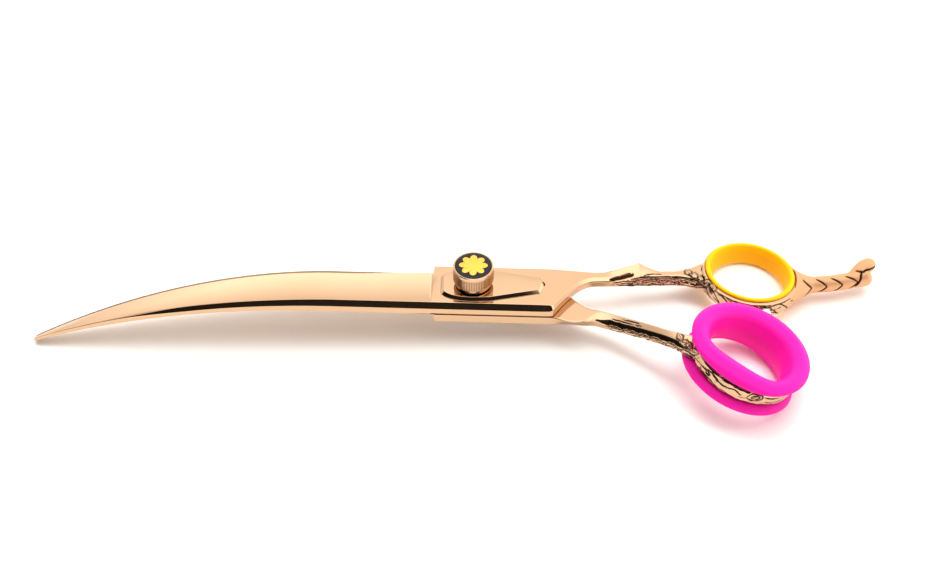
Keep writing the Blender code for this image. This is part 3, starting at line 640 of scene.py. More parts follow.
def tapered(width):
    """Widths of a cut that runs out to nothing at both ends."""
    return width * np.sin(np.linspace(0.15, math.pi - 0.15, STROKE_POINTS)) ** 0.6


def carve(item, cuts, leaves, grain, painted_shade, satin):
    """Raise leaves on a skin, roughen it and press cuts into it, and mark where it is dark or satin: the
    cuts and leaf outlines are dark with patina, and any painted shade given is added to that.
    """
    mesh = item.data
    places = np.array([vertex.co for vertex in mesh.vertices]) / MM
    normals = np.array([normal.vector for normal in mesh.vertex_normals])
    lift = grain(places, normals)
    dark = painted_shade(places, normals)
    for middle, along, across, height in leaves:
        upright = np.cross(along, across)
        upright /= np.linalg.norm(upright)
        away = places - middle
        lengthwise = away @ along / (along @ along)
        crosswise = away @ across / (across @ across)
        pointed = np.clip(1.0 - np.abs(lengthwise), 0.0, 1.0) ** 0.7
        inside = 1.0 - np.abs(crosswise) / np.maximum(pointed, 1e-3)
        near = (np.abs(away @ upright) < 2.0) & (np.abs(lengthwise) < 1.0)
        shape = np.where(near, np.clip(inside * 2.0, 0.0, 1.0), 0.0)
        rib = np.exp(-((crosswise / RIB_WIDTH) ** 2)) * np.where(near, np.clip(inside, 0.0, 1.0), 0.0)
        lift += height * (shape - RIB_DEPTH * rib)
        fading = np.where(inside < 0.0, 1.0 - (inside / 0.9) ** 2, 1.0 - inside / 0.25)
        edge = np.where(near, np.clip(fading, 0.0, 1.0), 0.0)
        dark = np.maximum(dark, np.maximum(edge, RIB_DARK * rib))
    tree = KDTree(STROKE_POINTS * len(cuts))
    widths = []
    depths = []
    for points, width, depth in cuts:
        for point, wide in zip(points, width):
            tree.insert(Vector(point), len(widths))
            widths.append(wide)
            depths.append(depth)
    tree.balance()
    for index, place in enumerate(places):
        _, nearest, distance = tree.find(Vector(place))
        if distance < widths[nearest]:
            share = 1.0 - (distance / widths[nearest]) ** 2
            lift[index] -= depths[nearest] * share
            dark[index] = max(dark[index], min(1.0, 1.5 * share))
    mesh.vertices.foreach_set("co", ((places + normals * lift[:, None]) * MM).astype(np.float32).ravel())
    for name, values in (("patina", dark), ("satin", satin(places, normals))):
        mesh.attributes.new(name, "FLOAT", "POINT").data.foreach_set("value", values.astype(np.float32))
    mesh.update()


def finish_piece(item, body, material, nodes, sharp):
    """Shade a piece, give it its finish, and set it on its body in place of its nodes."""
    bpy.ops.object.select_all(action="DESELECT")
    bpy.context.view_layer.objects.active = item
    item.select_set(True)
    bpy.ops.object.shade_smooth_by_angle(angle=math.radians(sharp))
    item.data.materials.clear()
    item.data.materials.append(material)
    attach(item, body)
    if nodes:
        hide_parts(*nodes)


# Finger half
# The upper half, forged with its finger ring and the tang behind it, then ground, polished and
# carved with vine leaves and bark. The bevel along the blade's spine is kept crisp.
FINGER_INNER = 3.6
FINGER_CENTRE = Vector((74.1, 8.3, 3.6))
FINGER_OVAL = 1.115
FINGER_TURN = math.radians(-30.0)
FINGER_BORE = 10.8
FINGER_OUTER = 11.7
FINGER_RING_HEIGHT = 4.4
FINGER_SHANK_OFFSET = 4.8
FINGER_FLARE = 6.0
THORN_AT = 44.2
THORN_RISE = 9.5
THORN_FALL = 7.0
RING_STEPS = 400
TANG_ROOT = Vector((86.0, 6.3, 3.6))
TANG_END = Vector((106.7, 9.7, 5.0))
TANG_LEAVE = Vector((7.2, 0.0, 0.0))
TANG_HOOK = Vector((6.6, 2.8, 1.1))
TANG_RADIUS = 2.2
TANG_ROOT_SWELL = 0.4
TANG_WEB = 4.6  # how far the tang spreads sideways into the ring
TANG_WEB_SHARE = 0.26
TANG_END_SWELL = 0.5
TANG_TIP = 2.0
TANG_LOBE_ROOT = Vector((99.4, 7.0, 5.0))  # the upper of the two lobes at the tang's end
TANG_LOBE_TIP = Vector((107.8, 12.8, 6.9))
TANG_LOBE_RADIUS = 2.0
TANG_LOBE_WIDTH = 2.5
TANG_LOBE_STEPS = 48
TANG_ROWS = 170
TANG_COLUMNS = 72
CHEVRONS = (90.2, 94.3, 98.4, 102.3)
CHEVRON_TURN = 26.0  # of their points, round the tang from its front
TANG_CREASES = (
    ((102.4, 8.8, 6.8), (103.4, 8.4, 6.8), (104.2, 8.2, 6.8), (105.7, 9.6, 6.8), (107.6, 11.0, 6.8)),
    ((104.1, 9.0, 5.8), (103.5, 7.4, 5.8), (102.8, 6.6, 4.8), (102.2, 6.0, 4.0)),
)
GRAIN_HEIGHT = 0.16
LEAF_HEIGHT = 0.25
FINGER_LEAVES = (
    (57.6, 8.0, 5.6),
    (59.2, 6.8, 5.6),
    (60.8, 5.8, 5.6),
    (62.4, 4.2, 5.6),
    (63.8, 2.6, 5.6),
)


def oval_reach(radius, oval, turn, angle):
    """Distance from an oval's centre to its outline, in the direction of the angle."""
    return radius / math.hypot(math.cos(angle - turn) / oval, math.sin(angle - turn))


def finger_back(x, width, low, high, corner, drop):
    """Corners of the back of the finger shank, which rises to a thorn."""
    rise = np.clip((x - THORN_AT + THORN_RISE) / THORN_RISE, 0.0, 1.0) ** 1.15
    fall = np.clip((THORN_AT + THORN_FALL - x) / THORN_FALL, 0.0, 1.0) ** 1.6
    thorn = np.where(x < THORN_AT, rise, fall)
    return (
        (width - corner + 1.9 * thorn, high + 1.8 * thorn),
        (width + 1.2 * thorn, high - drop + 0.8 * thorn),
        (width, low + drop),
        (width - corner, low),
    )


finger = SimpleNamespace(
    inner=FINGER_INNER,
    outward=1.0,
    offset=FINGER_SHANK_OFFSET,
    heel=HEEL,
    spine=front_line,
    edge=lambda x: back_line(x) - edge_inset(x),
    flare=FINGER_FLARE,
    ring_place=ring_place(FINGER_CENTRE, 0.0, FINGER_TURN, FINGER_OVAL),
    ring_middle=(FINGER_BORE + FINGER_OUTER) / 2,
    band_width=1.2,
    band_drop=0.5,
    lean=1.1,
    far_side=finger_back,
)
finger.ring_end = FINGER_CENTRE - Vector(
    (oval_reach(finger.ring_middle, FINGER_OVAL, FINGER_TURN, math.pi), 0.0, 0.0)
)


def finger_ring_outline(turn):
    """Profile of the finger ring, thin at the back and full in front."""
    half = FINGER_RING_HEIGHT / 2
    front = ease(-math.sin(turn + FINGER_TURN), -0.5, 0.3)
    outer = blend(FINGER_BORE + 0.3, FINGER_OUTER + 0.1, front)
    return [
        (FINGER_BORE, -half),
        (FINGER_BORE, half),
        (outer, half),
        (outer + 0.3, half - 0.6),
        (outer + 0.35, 0.0),
        (outer + 0.3, 0.6 - half),
        (outer, -half),
    ]


def tang_grid():
    """Rows of points over the tang, a tapering finger rest."""
    share = np.linspace(0.0, 1.0, TANG_ROWS)
    rest = 1.0 - share
    points = [TANG_ROOT, TANG_ROOT + TANG_LEAVE, TANG_END - TANG_HOOK, TANG_END]
    weights = (rest**3, 3 * rest * rest * share, 3 * rest * share * share, share**3)
    path = sum(weight[:, None] * np.array(point) for weight, point in zip(weights, points))
    along = np.gradient(path, axis=0)
    along /= np.linalg.norm(along, axis=1, keepdims=True)
    side = np.cross(along, (0.0, 0.0, 1.0))
    side /= np.linalg.norm(side, axis=1, keepdims=True)
    up = np.cross(side, along)
    length = np.linalg.norm(np.diff(path, axis=0), axis=1).sum()
    left = (1.0 - share) * length
    radius = TANG_RADIUS + TANG_ROOT_SWELL * np.clip(1.0 - 4.0 * share, 0.0, 1.0) ** 1.5
    radius *= np.sqrt(np.clip(1.0 - (1.0 - left / TANG_TIP).clip(0.0) ** 2, 0.002, 1.0))
    radius *= 1.0 + TANG_END_SWELL / TANG_RADIUS * ease(share, 0.7, 0.95)
    web = TANG_WEB * np.clip(1.0 - share / TANG_WEB_SHARE, 0.0, 1.0) ** 2
    turns = np.linspace(0.0, 2 * math.pi, TANG_COLUMNS, endpoint=False)
    sideways = np.cos(turns) * (radius + web)[:, None]
    upward = np.sin(turns) * radius[:, None]
    rows = path[:, None] + sideways[..., None] * side[:, None] + upward[..., None] * up[:, None]
    return rows + onto_ring(finger, rows, TANG_ROOT.x, 1.0) * (1.0 - ease(share, 0.0, 0.3))[:, None, None]


def tang_lobe_grid():
    """Rows of points over the upper lobe of the tang's end, a drop turned up and outwards."""
    middle = np.array((TANG_LOBE_ROOT + TANG_LOBE_TIP) / 2)
    along = np.array((TANG_LOBE_TIP - TANG_LOBE_ROOT) / 2)
    side = np.cross(along, (0.0, 0.0, 1.0))
    side /= np.linalg.norm(side)
    up = np.cross(side, along) / np.linalg.norm(along)
    turns = np.linspace(0.0, 2 * math.pi, TANG_LOBE_STEPS, endpoint=False)[:, None]
    circle = TANG_LOBE_WIDTH * np.cos(turns) * side + TANG_LOBE_RADIUS * np.sin(turns) * up
    rows = []
    for place in np.sin(np.linspace(-1.55, 1.55, TANG_LOBE_STEPS)):
        swell = math.sqrt(1.0 - place * place) * (0.8 + 0.4 * place)
        rows.append(middle + along * place + swell * circle)
    return np.array(rows)


finger.x, finger.grid = half_grid(finger)
finger_ring_grid = ring_grid(finger.ring_place, finger_ring_outline, 0.22, RING_STEPS)
tang_rows = tang_grid()
finger_half = skin("finger_half_forging", finger.grid, False)
finger_ring = skin("finger_ring", finger_ring_grid, True)
tang = skin("tang", tang_rows, False)
tang_lobe = skin("tang_lobe", tang_lobe_grid(), False)
weld(finger_half, [finger_ring, tang, tang_lobe])


def shank_cut(half, points, width, depth):
    """A cut along a shank, through points given by their place along it and round it."""
    line = stroke(points)
    rows = np.interp(line[:, 0], half.x, np.arange(len(half.x)))
    return on_skin(half.grid, rows, around_column(line[:, 1])), tapered(width), depth


def ring_cut(grid, points, width, depth):
    """A cut on a ring, through points given by their angle and their place round its profile."""
    line = stroke(points)
    return on_skin(grid, line[:, 0] / 360 * len(grid), around_column(line[:, 1])), tapered(width), depth


def tang_cut(points, width, depth):
    """A cut on the tang, through points given by their place along it and the turn round it."""
    line = stroke(points)
    rows = np.interp(line[:, 0], tang_rows[:, :, 0].mean(axis=1), np.arange(TANG_ROWS))
    return on_skin(tang_rows, rows, line[:, 1] / 360 * TANG_COLUMNS), tapered(width), depth


def bark_lines(chance, start, end, lanes, length, wave):
    """Wavy lines side by side, each broken into lengths, as points along and round."""
    lines = []
    for lane in lanes:
        place = start + chance.random() * length
        while place < end - 0.3 * length:
            reach = min(place + length * (0.6 + 0.8 * chance.random()), end)
            steps = 6
            line = []
            for step in range(steps):
                sway = wave * (chance.random() - 0.5)
                line.append((blend(place, reach, step / (steps - 1)), lane + sway))
            lines.append(line)
            place = reach + 0.12 * length
    return lines


def vine(chance, start, end, low, high, length):
    """A row of long overlapping leaves, each drawn as two arcs and a rib, as points along and round."""
    lines = []
    place = start
    while place < end - 0.5 * length:
        reach = length * (0.8 + 0.4 * chance.random())
        root = blend(low, high, 0.25 + 0.5 * chance.random())
        tip = blend(low, high, 0.25 + 0.5 * chance.random())
        upper = [(0.0, root), (0.3, high), (0.65, blend(tip, high, 0.8)), (1.0, tip)]
        lower = [(0.15, root), (0.4, low), (0.75, blend(tip, low, 0.8)), (1.05, tip)]
        rib = [(0.3, blend(root, tip, 0.3)), (0.8, tip)]
        for shape in (upper, lower, rib):
            lines.append([(min(place + share * reach, end), around) for share, around in shape])
        place += 0.75 * reach
    return lines


def bark_grain(places):
    """Height of the uneven ground between cuts, long along the shears."""
    heights = np.zeros(len(places))
    for index, (x, y, z) in enumerate(places):
        heights[index] = noise.noise(Vector((x * 0.5, y * 1.1, z * 1.1)))
    return GRAIN_HEIGHT * heights


def leaf(middle, turn, lean, length, width, height):
    """A raised leaf: its middle, half length and half width as vectors, and its height."""
    along = np.array((math.cos(turn), math.sin(turn), 0.0))
    upward = np.array((0.0, -math.sin(lean), math.cos(lean)))
    across = np.cross(upward, along)
    return np.array(middle), along * length, across / np.linalg.norm(across) * width, height


def finger_cuts():
    """Leaf and bark lines along the shank, cells round the ring and chevrons on the tang."""
    chance = random.Random(3)
    end = finger.ring_end.x
    cuts = []
    for points, width, depth in (
        ([(36.4, 1.4), (38.6, 1.85), (40.6, 2.1), (42.6, 2.2)], 0.75, 0.4),
        ([(44.4, 1.6), (46.0, 2.1), (48.0, 2.35), (50.5, 2.3)], 0.2, 0.14),
        ([(42.0, 1.1), (44.5, 1.5), (47.0, 1.2), (50.0, 1.6), (53.0, 1.2)], 0.22, 0.18),
    ):
        cuts.append(shank_cut(finger, points, width, depth))
    for points in vine(chance, 37.0, end, 0.08, 1.0, 8.0):
        cuts.append(shank_cut(finger, points, 0.2, 0.18))
    for points in bark_lines(chance, 36.0, end, (3.6, 4.2, 5.0, 5.7, 6.5, 7.4), 7.5, 0.4):
        cuts.append(shank_cut(finger, points, 0.24, 0.16))
    for first in range(-160, -30, 17):
        top = [(first, 2.9), (first + 8, 2.7), (first + 20, 4.1), (first + 27, 5.4)]
        cuts.append(ring_cut(finger_ring_grid, top, 0.25, 0.2))
        low = [(first - 4, 4.3), (first + 6, 4.6), (first + 12, 5.5)]
        cuts.append(ring_cut(finger_ring_grid, low, 0.22, 0.18))
    for first in range(-14, 150, 23):
        back = [(first, 3.4), (first + 12, 4.2), (first + 26, 4.0)]
        cuts.append(ring_cut(finger_ring_grid, back, 0.2, 0.12))
    for place in CHEVRONS:
        for far, turn in ((-2.7, 84.0), (-2.2, -25.0)):
            halfway = (place + far / 2, blend(CHEVRON_TURN, turn, 0.6))
            cuts.append(tang_cut([(place + far, turn), halfway, (place, CHEVRON_TURN)], 0.3, 0.22))
        cuts.append(tang_cut([(place - 3.0, 128.0), (place - 1.2, 165.0), (place, 200.0)], 0.24, 0.16))
    for points in TANG_CREASES:
        line = [finger_half.closest_point_on_mesh(Vector(point) * MM)[1] / MM for point in stroke(points)]
        cuts.append((line, tapered(0.36), 0.22))
    for points in (
        [(-62, 3.2), (-45, 3.0), (-28, 2.8), (-14, 2.6)],
        [(-60, 4.2), (-44, 3.9), (-28, 3.7)],
    ):
        cuts.append(ring_cut(finger_ring_grid, points, 0.22, 0.16))
    return cuts


def leaf_row(places, turns, lean, length, width):
    """Leaves in a row where a shank runs into its ring, turned one way and the other."""
    leaves = []
    for index, place in enumerate(places):
        turn = math.radians(turns[index % 2])
        leaves.append(leaf(place, turn, math.radians(lean), length, width, LEAF_HEIGHT))
    return leaves


def finger_grain(places, normals):
    """Bark on the shank's sides and the ring's front; the blade, the ricasso and all tops stay smooth."""
    sides = 1.0 - ease(normals[:, 2], 0.35, 0.7)
    along = ease(places[:, 0], 35.0, 41.0) * (1.0 - ease(places[:, 0], 84.0, 88.0))
    distance = np.hypot(places[:, 0] - FINGER_CENTRE.x, places[:, 1] - FINGER_CENTRE.y)
    outside = ease(distance, FINGER_BORE + 0.2, FINGER_BORE + 0.6)
    return bark_grain(places) * sides * along * outside


def nothing_marked(places, normals):
    return np.zeros(len(places))


def tang_satin(places, normals):
    return ease(places[:, 0], 80.0, 87.0)


finger_leaves = leaf_row(FINGER_LEAVES, (-64.0, -12.0), 25.0, 1.8, 0.8)
carve(finger_half, finger_cuts(), finger_leaves, finger_grain, nothing_marked, tang_satin)
finish_piece(finger_half, "finger_half", rose_gold, ["finger_blade"], 38.0)

# Thumb half
# The lower half, forged with its tilted thumb ring. Its flat inner face runs out in a leaf shape where
# the shank leaves the ricasso, and bark is carved along the shank and round the ring.
THUMB_INNER = 3.3
THUMB_CENTRE = Vector((69.8, -20.95, 3.4))
THUMB_OVAL = 1.113
THUMB_TURN = math.radians(-26.0)
THUMB_TILT = math.radians(16.0)
THUMB_BORE = 10.9
THUMB_OUTER = 12.5
THUMB_RING_HEIGHT = 4.4
THUMB_HEEL = 10.0
THUMB_SHANK_OFFSET = -6.0
THUMB_FLARE = 3.0
LEAF_START = 20.6  # of the leaf shape in which the flat inner face runs out
LEAF_LENGTH = 12.6
LEAF_REACH = 1.5
LEAF_END = (29.6, 34.0)  # along the slanting end of the flat inner face, from its front to its back
CREST_DROP = 0.5
FACET_WIDTH = 1.35
FACET_DROP = 0.95
# How dark the thumb blade's inner face is painted, as painted shade
INNER_FACE_SHADE = 0.55
THUMB_LEAVES = ((53.6, -18.0, 7.2), (54.8, -19.3, 7.2), (55.8, -20.7, 7.2), (56.6, -22.1, 7.2))


def thumb_front(x, width, low, high, corner, drop):
    """Corners of the front of the thumb shank: wall, dark facet, sloping top and flat inner face."""
    lobe = LEAF_REACH * np.sin(np.clip((x - LEAF_START) / LEAF_LENGTH, 0.0, 1.0) * math.pi) ** 1.4
    climb = ease(x, LEAF_START, LEAF_END[0])
    past_leaf = np.clip((x - LEAF_END[0]) / (LEAF_END[1] - LEAF_END[0]), 0.0, 1.0)
    facet = ease(x, LEAF_END[0], LEAF_END[1] + 2.5)
    crest = low + blend(CORNER, CREST_DROP, past_leaf)
    wall_top = blend(high - drop, crest + 0.1 + FACET_DROP * facet, climb)
    return (
        (width - corner * (1.0 - 0.7 * climb), high),
        (width + lobe * climb, wall_top),
        (width + lobe - FACET_WIDTH * facet, crest),
        (blend(width - CORNER + lobe, corner + 0.25, past_leaf), low + 0.05 * past_leaf),
    )


thumb = SimpleNamespace(
    inner=THUMB_INNER,
    outward=-1.0,
    offset=THUMB_SHANK_OFFSET,
    heel=THUMB_HEEL,
    spine=back_line,
    edge=lambda x: front_line(x) + edge_inset(x),
    flare=THUMB_FLARE,
    ring_place=ring_place(THUMB_CENTRE, THUMB_TILT, THUMB_TURN, THUMB_OVAL),
    ring_middle=(THUMB_BORE + THUMB_OUTER) / 2,
    band_width=1.2,
    band_drop=1.0,
    lean=0.0,
    far_side=thumb_front,
)
thumb.ring_end = THUMB_CENTRE - Vector(
    (math.cos(THUMB_TILT), 0.0, -math.sin(THUMB_TILT))
) * oval_reach(thumb.ring_middle, THUMB_OVAL, THUMB_TURN, math.pi)


def thumb_ring_outline(turn):
    half = THUMB_RING_HEIGHT / 2
    return [
        (THUMB_BORE, -half),
        (THUMB_BORE, half),
        (THUMB_OUTER - 0.5, half),
        (THUMB_OUTER + 0.2, half - 0.7),
        (THUMB_OUTER + 0.35, 0.0),
        (THUMB_OUTER + 0.2, 0.7 - half),
        (THUMB_OUTER - 0.5, -half),
    ]


thumb.x, thumb.grid = half_grid(thumb)
thumb_ring_grid = ring_grid(thumb.ring_place, thumb_ring_outline, 0.3, RING_STEPS)
thumb_half = skin("thumb_half_forging", thumb.grid, False)
thumb_ring = skin("thumb_ring", thumb_ring_grid, True)
weld(thumb_half, [thumb_ring])


def thumb_cuts():
    """Bark along the shank, and long bark lines, a bud and a knot round the ring."""
    chance = random.Random(5)
    end = thumb.ring_end.x
    cuts = []
    for points in vine(chance, 35.0, end, 3.1, 4.15, 4.6):
        cuts.append(shank_cut(thumb, points, 0.22, 0.2))
    for points in bark_lines(chance, 35.5, 44.0, (5.3, 5.7), 4.0, 0.2):
        cuts.append(shank_cut(thumb, points, 0.16, 0.1))
    for points in bark_lines(chance, 38.0, end, (0.4, 1.1, 1.8, 2.4, 2.9), 7.5, 0.4):
        cuts.append(shank_cut(thumb, points, 0.24, 0.16))
    for points in (
        [(-150, 3.4), (-136, 2.6), (-124, 2.4), (-112, 2.0), (-98, 1.9), (-84, 2.1), (-66, 2.2)],
        [(-140, 4.2), (-124, 3.9), (-114, 3.2), (-106, 3.5), (-99, 4.0)]
        + [(-91, 3.8), (-84, 3.3), (-76, 3.9)],
        [(-134, 5.0), (-117, 4.6), (-109, 4.9), (-97, 5.3), (-84, 5.0), (-72, 5.2)],
        [(-104, 2.7), (-97, 2.3), (-90, 2.6), (-82, 2.4)],
        [(-122, 3.5), (-118, 4.2), (-113, 4.1), (-114, 3.7), (-119, 3.6)],
        [(-70, 4.0), (-67, 2.8), (-58, 2.5), (-52, 3.2), (-57, 4.2), (-66, 4.4), (-70, 4.0)],
        [(-66, 3.8), (-63, 3.2), (-58, 3.0), (-56, 3.5), (-61, 3.9), (-66, 3.8)],
        [(-51, 3.2), (-42, 3.5), (-32, 3.4)],
        [(-49, 4.3), (-38, 4.6), (-24, 4.2)],
    ):
        cuts.append(ring_cut(thumb_ring_grid, points, 0.3, 0.22))
    for points in bark_lines(chance, -25.0, 175.0, (2.8, 3.5, 4.2, 4.9), 38.0, 0.5):
        cuts.append(ring_cut(thumb_ring_grid, points, 0.26, 0.16))
    return cuts


def thumb_grain(places, normals):
    """Bark on the shank's front, back and underside and round the ring."""
    sides = 1.0 - ease(normals[:, 2], 0.3, 0.6)
    return bark_grain(places) * sides * ease(places[:, 0], 37.0, 43.0)


def inner_face_painted_shade(places, normals):
    """The ground inner face of the blade is painted darker, as painted shade for the strip of it that shows
    behind the upper blade's edge, and it is rougher, like a honed surface.
    """
    level = places[:, 2] + bow(places[:, 0], places[:, 1])
    flat = (level > THUMB_INNER - 0.02) & (normals[:, 2] > 0.8)
    return INNER_FACE_SHADE * np.where(flat, 1.0 - ease(places[:, 0], -THUMB_HEEL - 6.0, -THUMB_HEEL), 0.0)


thumb_leaves = leaf_row(THUMB_LEAVES, (-72.0, -22.0), 55.0, 1.6, 0.75)
# The thumb's flat inner face is painted darker here, as painted shade
carve(thumb_half, thumb_cuts(), thumb_leaves, thumb_grain, inner_face_painted_shade, nothing_marked)
finish_piece(thumb_half, "thumb_half", rose_gold, ["thumb_blade"], 38.0)

# Tension plate
# A leaf-shaped plate let into the upper half round the pivot, cut from sheet with a bevelled rim.
PLATE_TOP = 7.4
PLATE_FLOOR = 6.4
PLATE_TAIL = ((18.7, 0.5), (18.4, 1.3), (17.6, 3.0), (4.4, 5.85))
PLATE_NOSE = 8.7
PLATE_WAIST = 2.5
PLATE_ROUND = 3.5
PLATE_BEVEL = 0.8
PLATE_RIM = 0.07
PLATE_TURN = math.radians(1.6)
PLATE_ARC = 48
SHADOW_SLIVER_LEVEL = 6.5  # height of the painted shadow round the tail's end, a dark sliver where the gap lies in shade
SHADOW_SLIVER_SIDES = 12
# Places along the painted shadow sliver and its thickness there
SHADOW_SLIVER_POINTS = (
    (17.9, 2.3, 0.05),
    (18.4, 1.9, 0.2),
    (18.8, 1.3, 0.28),
    (18.8, 0.6, 0.26),
    (18.5, 0.1, 0.05),
)


def plate_outline():
    """Outline from the tail along one side to the nose, and back along the other."""
    points = list(PLATE_TAIL)
    for step in range(PLATE_ARC + 1):
        angle = math.pi / 2 * step / PLATE_ARC
        points.append((-PLATE_NOSE * math.sin(angle), PLATE_WAIST + PLATE_ROUND * math.cos(angle)))
    points += [(x, -y) for x, y in reversed(points)]
    cos, sin = math.cos(PLATE_TURN), math.sin(PLATE_TURN)
    return [(x * cos - y * sin, x * sin + y * cos) for x, y in points]


def sheet(name, outline, floor, top):
    """A flat piece cut from sheet: an outline filled and drawn up."""
    bpy.ops.object.select_all(action="DESELECT")
    bpy.ops.mesh.primitive_circle_add(vertices=len(outline), radius=MM, fill_type="NGON")
    item = bpy.context.object
    item.name = name
    item.data.name = name
    for vertex, (x, y) in zip(item.data.vertices, outline):
        vertex.co = Vector((x, y, floor)) * MM
    bpy.ops.object.mode_set(mode="EDIT")
    bpy.ops.mesh.select_all(action="SELECT")
    bpy.ops.mesh.extrude_region_move(TRANSFORM_OT_translate={"value": (0.0, 0.0, (top - floor) * MM)})
    return item


plate = sheet("tension_plate_leaf", plate_outline(), PLATE_FLOOR, PLATE_TOP)
bpy.ops.mesh.bevel(offset=PLATE_BEVEL * MM, segments=1)
bpy.ops.mesh.select_all(action="SELECT")
bpy.ops.mesh.normals_make_consistent(inside=False)
bpy.ops.object.mode_set(mode="OBJECT")
rim = plate.modifiers.new("rim", "BEVEL")
rim.width = PLATE_RIM * MM
rim.segments = 3
rim.angle_limit = math.radians(25.0)
bpy.ops.object.modifier_apply(modifier=rim.name)
finish_piece(plate, "finger_half", rose_gold, ["tension_plate"], 14.0)

# A dark sliver laid round the plate's tail is painted shadow. It stands in for the shaded gap between the
# tail and the ricasso.
shadow_sliver_rows = []
shadow_sliver_turns = np.linspace(0.0, 2 * math.pi, SHADOW_SLIVER_SIDES, endpoint=False)
for x, y, thick in SHADOW_SLIVER_POINTS:
    along = x + thick * np.cos(shadow_sliver_turns)
    up = SHADOW_SLIVER_LEVEL + thick * 0.4 * np.sin(shadow_sliver_turns)
    shadow_sliver_rows.append(np.stack([along, np.full(SHADOW_SLIVER_SIDES, y), up], axis=1))
shadow_sliver = skin("plate_painted_shadow", np.array(shadow_sliver_rows), False)
shadow_sliver_dark = shadow_sliver.data.attributes.new("patina", "FLOAT", "POINT")
shadow_sliver_dark.data.foreach_set("value", [1.0] * len(shadow_sliver.data.vertices))
finish_piece(shadow_sliver, "finger_half", rose_gold, [], 60.0)

# Tension dial
# A turned knob with fine upright knurling between two smooth bands, and a rim round the sunk disc.
KNOB_RADIUS = 5.4
KNOB_FLOOR = 9.25
KNOB_TOP = 13.8
KNOB_RIM = 0.5
KNOB_SINK = 0.5
KNOB_SKIRT = 4.75
SKIRT_FLOOR = 7.95
KNURL_LINES = 76
KNURL_FLOOR = 9.7
KNURL_TOP = 12.9
KNURL_DEPTH = 0.18
KNURL_SLOPE = 0.03
KNURL_SATIN = 0.4
KNURL_DARK = 0.6


def turned(name, sides, profile):
    """A turned piece: a circle drawn up and scaled ring by ring along its profile."""
    bpy.ops.object.select_all(action="DESELECT")
    bpy.ops.mesh.primitive_circle_add(vertices=sides, radius=profile[0][0] * MM, fill_type="NGON")
    item = bpy.context.object
    item.name = name
    item.data.name = name
    for vertex in item.data.vertices:
        vertex.co.z = profile[0][1] * MM
    bpy.ops.object.mode_set(mode="EDIT")
    bpy.ops.mesh.select_all(action="SELECT")
    radius, height = profile[0]
    for next_radius, next_height in profile[1:]:
        rise = (next_height - height) * MM
        bpy.ops.mesh.extrude_region_move(TRANSFORM_OT_translate={"value": (0.0, 0.0, rise)})
        share = next_radius / radius
        bpy.ops.transform.resize(value=(share, share, 1.0), center_override=(0.0, 0.0, next_height * MM))
        radius, height = next_radius, next_height
    bpy.ops.mesh.select_all(action="SELECT")
    bpy.ops.mesh.normals_make_consistent(inside=False)
    bpy.ops.object.mode_set(mode="OBJECT")
    return item


knob = turned(
    "dial_knob",
    KNURL_LINES * 2,
    [
        (KNOB_SKIRT, SKIRT_FLOOR),
        (KNOB_SKIRT, KNOB_FLOOR),
        (KNOB_RADIUS - 0.35, KNOB_FLOOR),
        (KNOB_RADIUS - 0.1, KNOB_FLOOR + 0.1),
        (KNOB_RADIUS, KNOB_FLOOR + 0.3),
        (KNOB_RADIUS, KNURL_FLOOR),
        (KNOB_RADIUS, KNURL_TOP),
        (KNOB_RADIUS, KNOB_TOP - 0.35),
        (KNOB_RADIUS - 0.08, KNOB_TOP - 0.13),
        (KNOB_RADIUS - 0.28, KNOB_TOP),
        (KNOB_RADIUS - KNOB_RIM, KNOB_TOP),
        (KNOB_RADIUS - KNOB_RIM - 0.1, KNOB_TOP - 0.1),
        (KNOB_RADIUS - KNOB_RIM - 0.1, KNOB_TOP - KNOB_SINK),
    ],
)
knurl_faces = []
for face in knob.data.polygons:
    turn = math.atan2(face.center.y, face.center.x) / (2 * math.pi) * KNURL_LINES
    in_band = KNURL_FLOOR < face.center.z / MM < KNURL_TOP and abs(face.normal.z) < 0.1
    knurl_faces.append(in_band and turn - math.floor(turn) < 0.5)
bpy.context.tool_settings.mesh_select_mode = (False, False, True)
bpy.ops.object.mode_set(mode="EDIT")
bpy.ops.mesh.select_all(action="DESELECT")
bpy.ops.object.mode_set(mode="OBJECT")
knob.data.polygons.foreach_set("select", knurl_faces)
bpy.ops.object.mode_set(mode="EDIT")
bpy.ops.mesh.inset(thickness=KNURL_SLOPE * MM, depth=-KNURL_DEPTH * MM, use_individual=True)
bpy.ops.object.mode_set(mode="OBJECT")
bpy.context.tool_settings.mesh_select_mode = (True, False, False)
knurled = np.zeros(len(knob.data.vertices), np.float32)
for vertex in knob.data.vertices:
    if KNURL_FLOOR - 0.1 < vertex.co.z / MM < KNURL_TOP + 0.1:
        knurled[vertex.index] = KNURL_SATIN
grooves = np.zeros(len(knob.data.vertices), np.float32)
for face in knob.data.polygons:
    if face.select:
        grooves[list(face.vertices)] = KNURL_DARK
for name, values in (("satin", knurled), ("patina", grooves)):
    knob.data.attributes.new(name, "FLOAT", "POINT").data.foreach_set("value", values)
finish_piece(knob, "dial", rose_gold, ["tension_knob"], 30.0)

# Dial disc
# A domed disc of glossy black enamel set in the dial, with a rosette of gold foil on it.
DISC_RADIUS = KNOB_RADIUS - KNOB_RIM - 0.03
DISC_FLOOR = KNOB_TOP - KNOB_SINK
DISC_TOP = KNOB_TOP + 0.3
DISC_STEPS = 10
DISC_SIDES = 96
ENAMEL_BLACK = (0.006, 0.006, 0.007)
ENAMEL_SPECK = (0.014, 0.014, 0.016)
FOIL_GOLD = (0.95, 0.62, 0.12)
FOIL_DEEP = (0.80, 0.44, 0.06)
PETALS = 8
PETAL_REACH = 3.75
PETAL_NOTCH = 0.62  # reach between two petals, against that of a petal
ROSETTE_RINGS = 22
ROSETTE_SIDES = 192


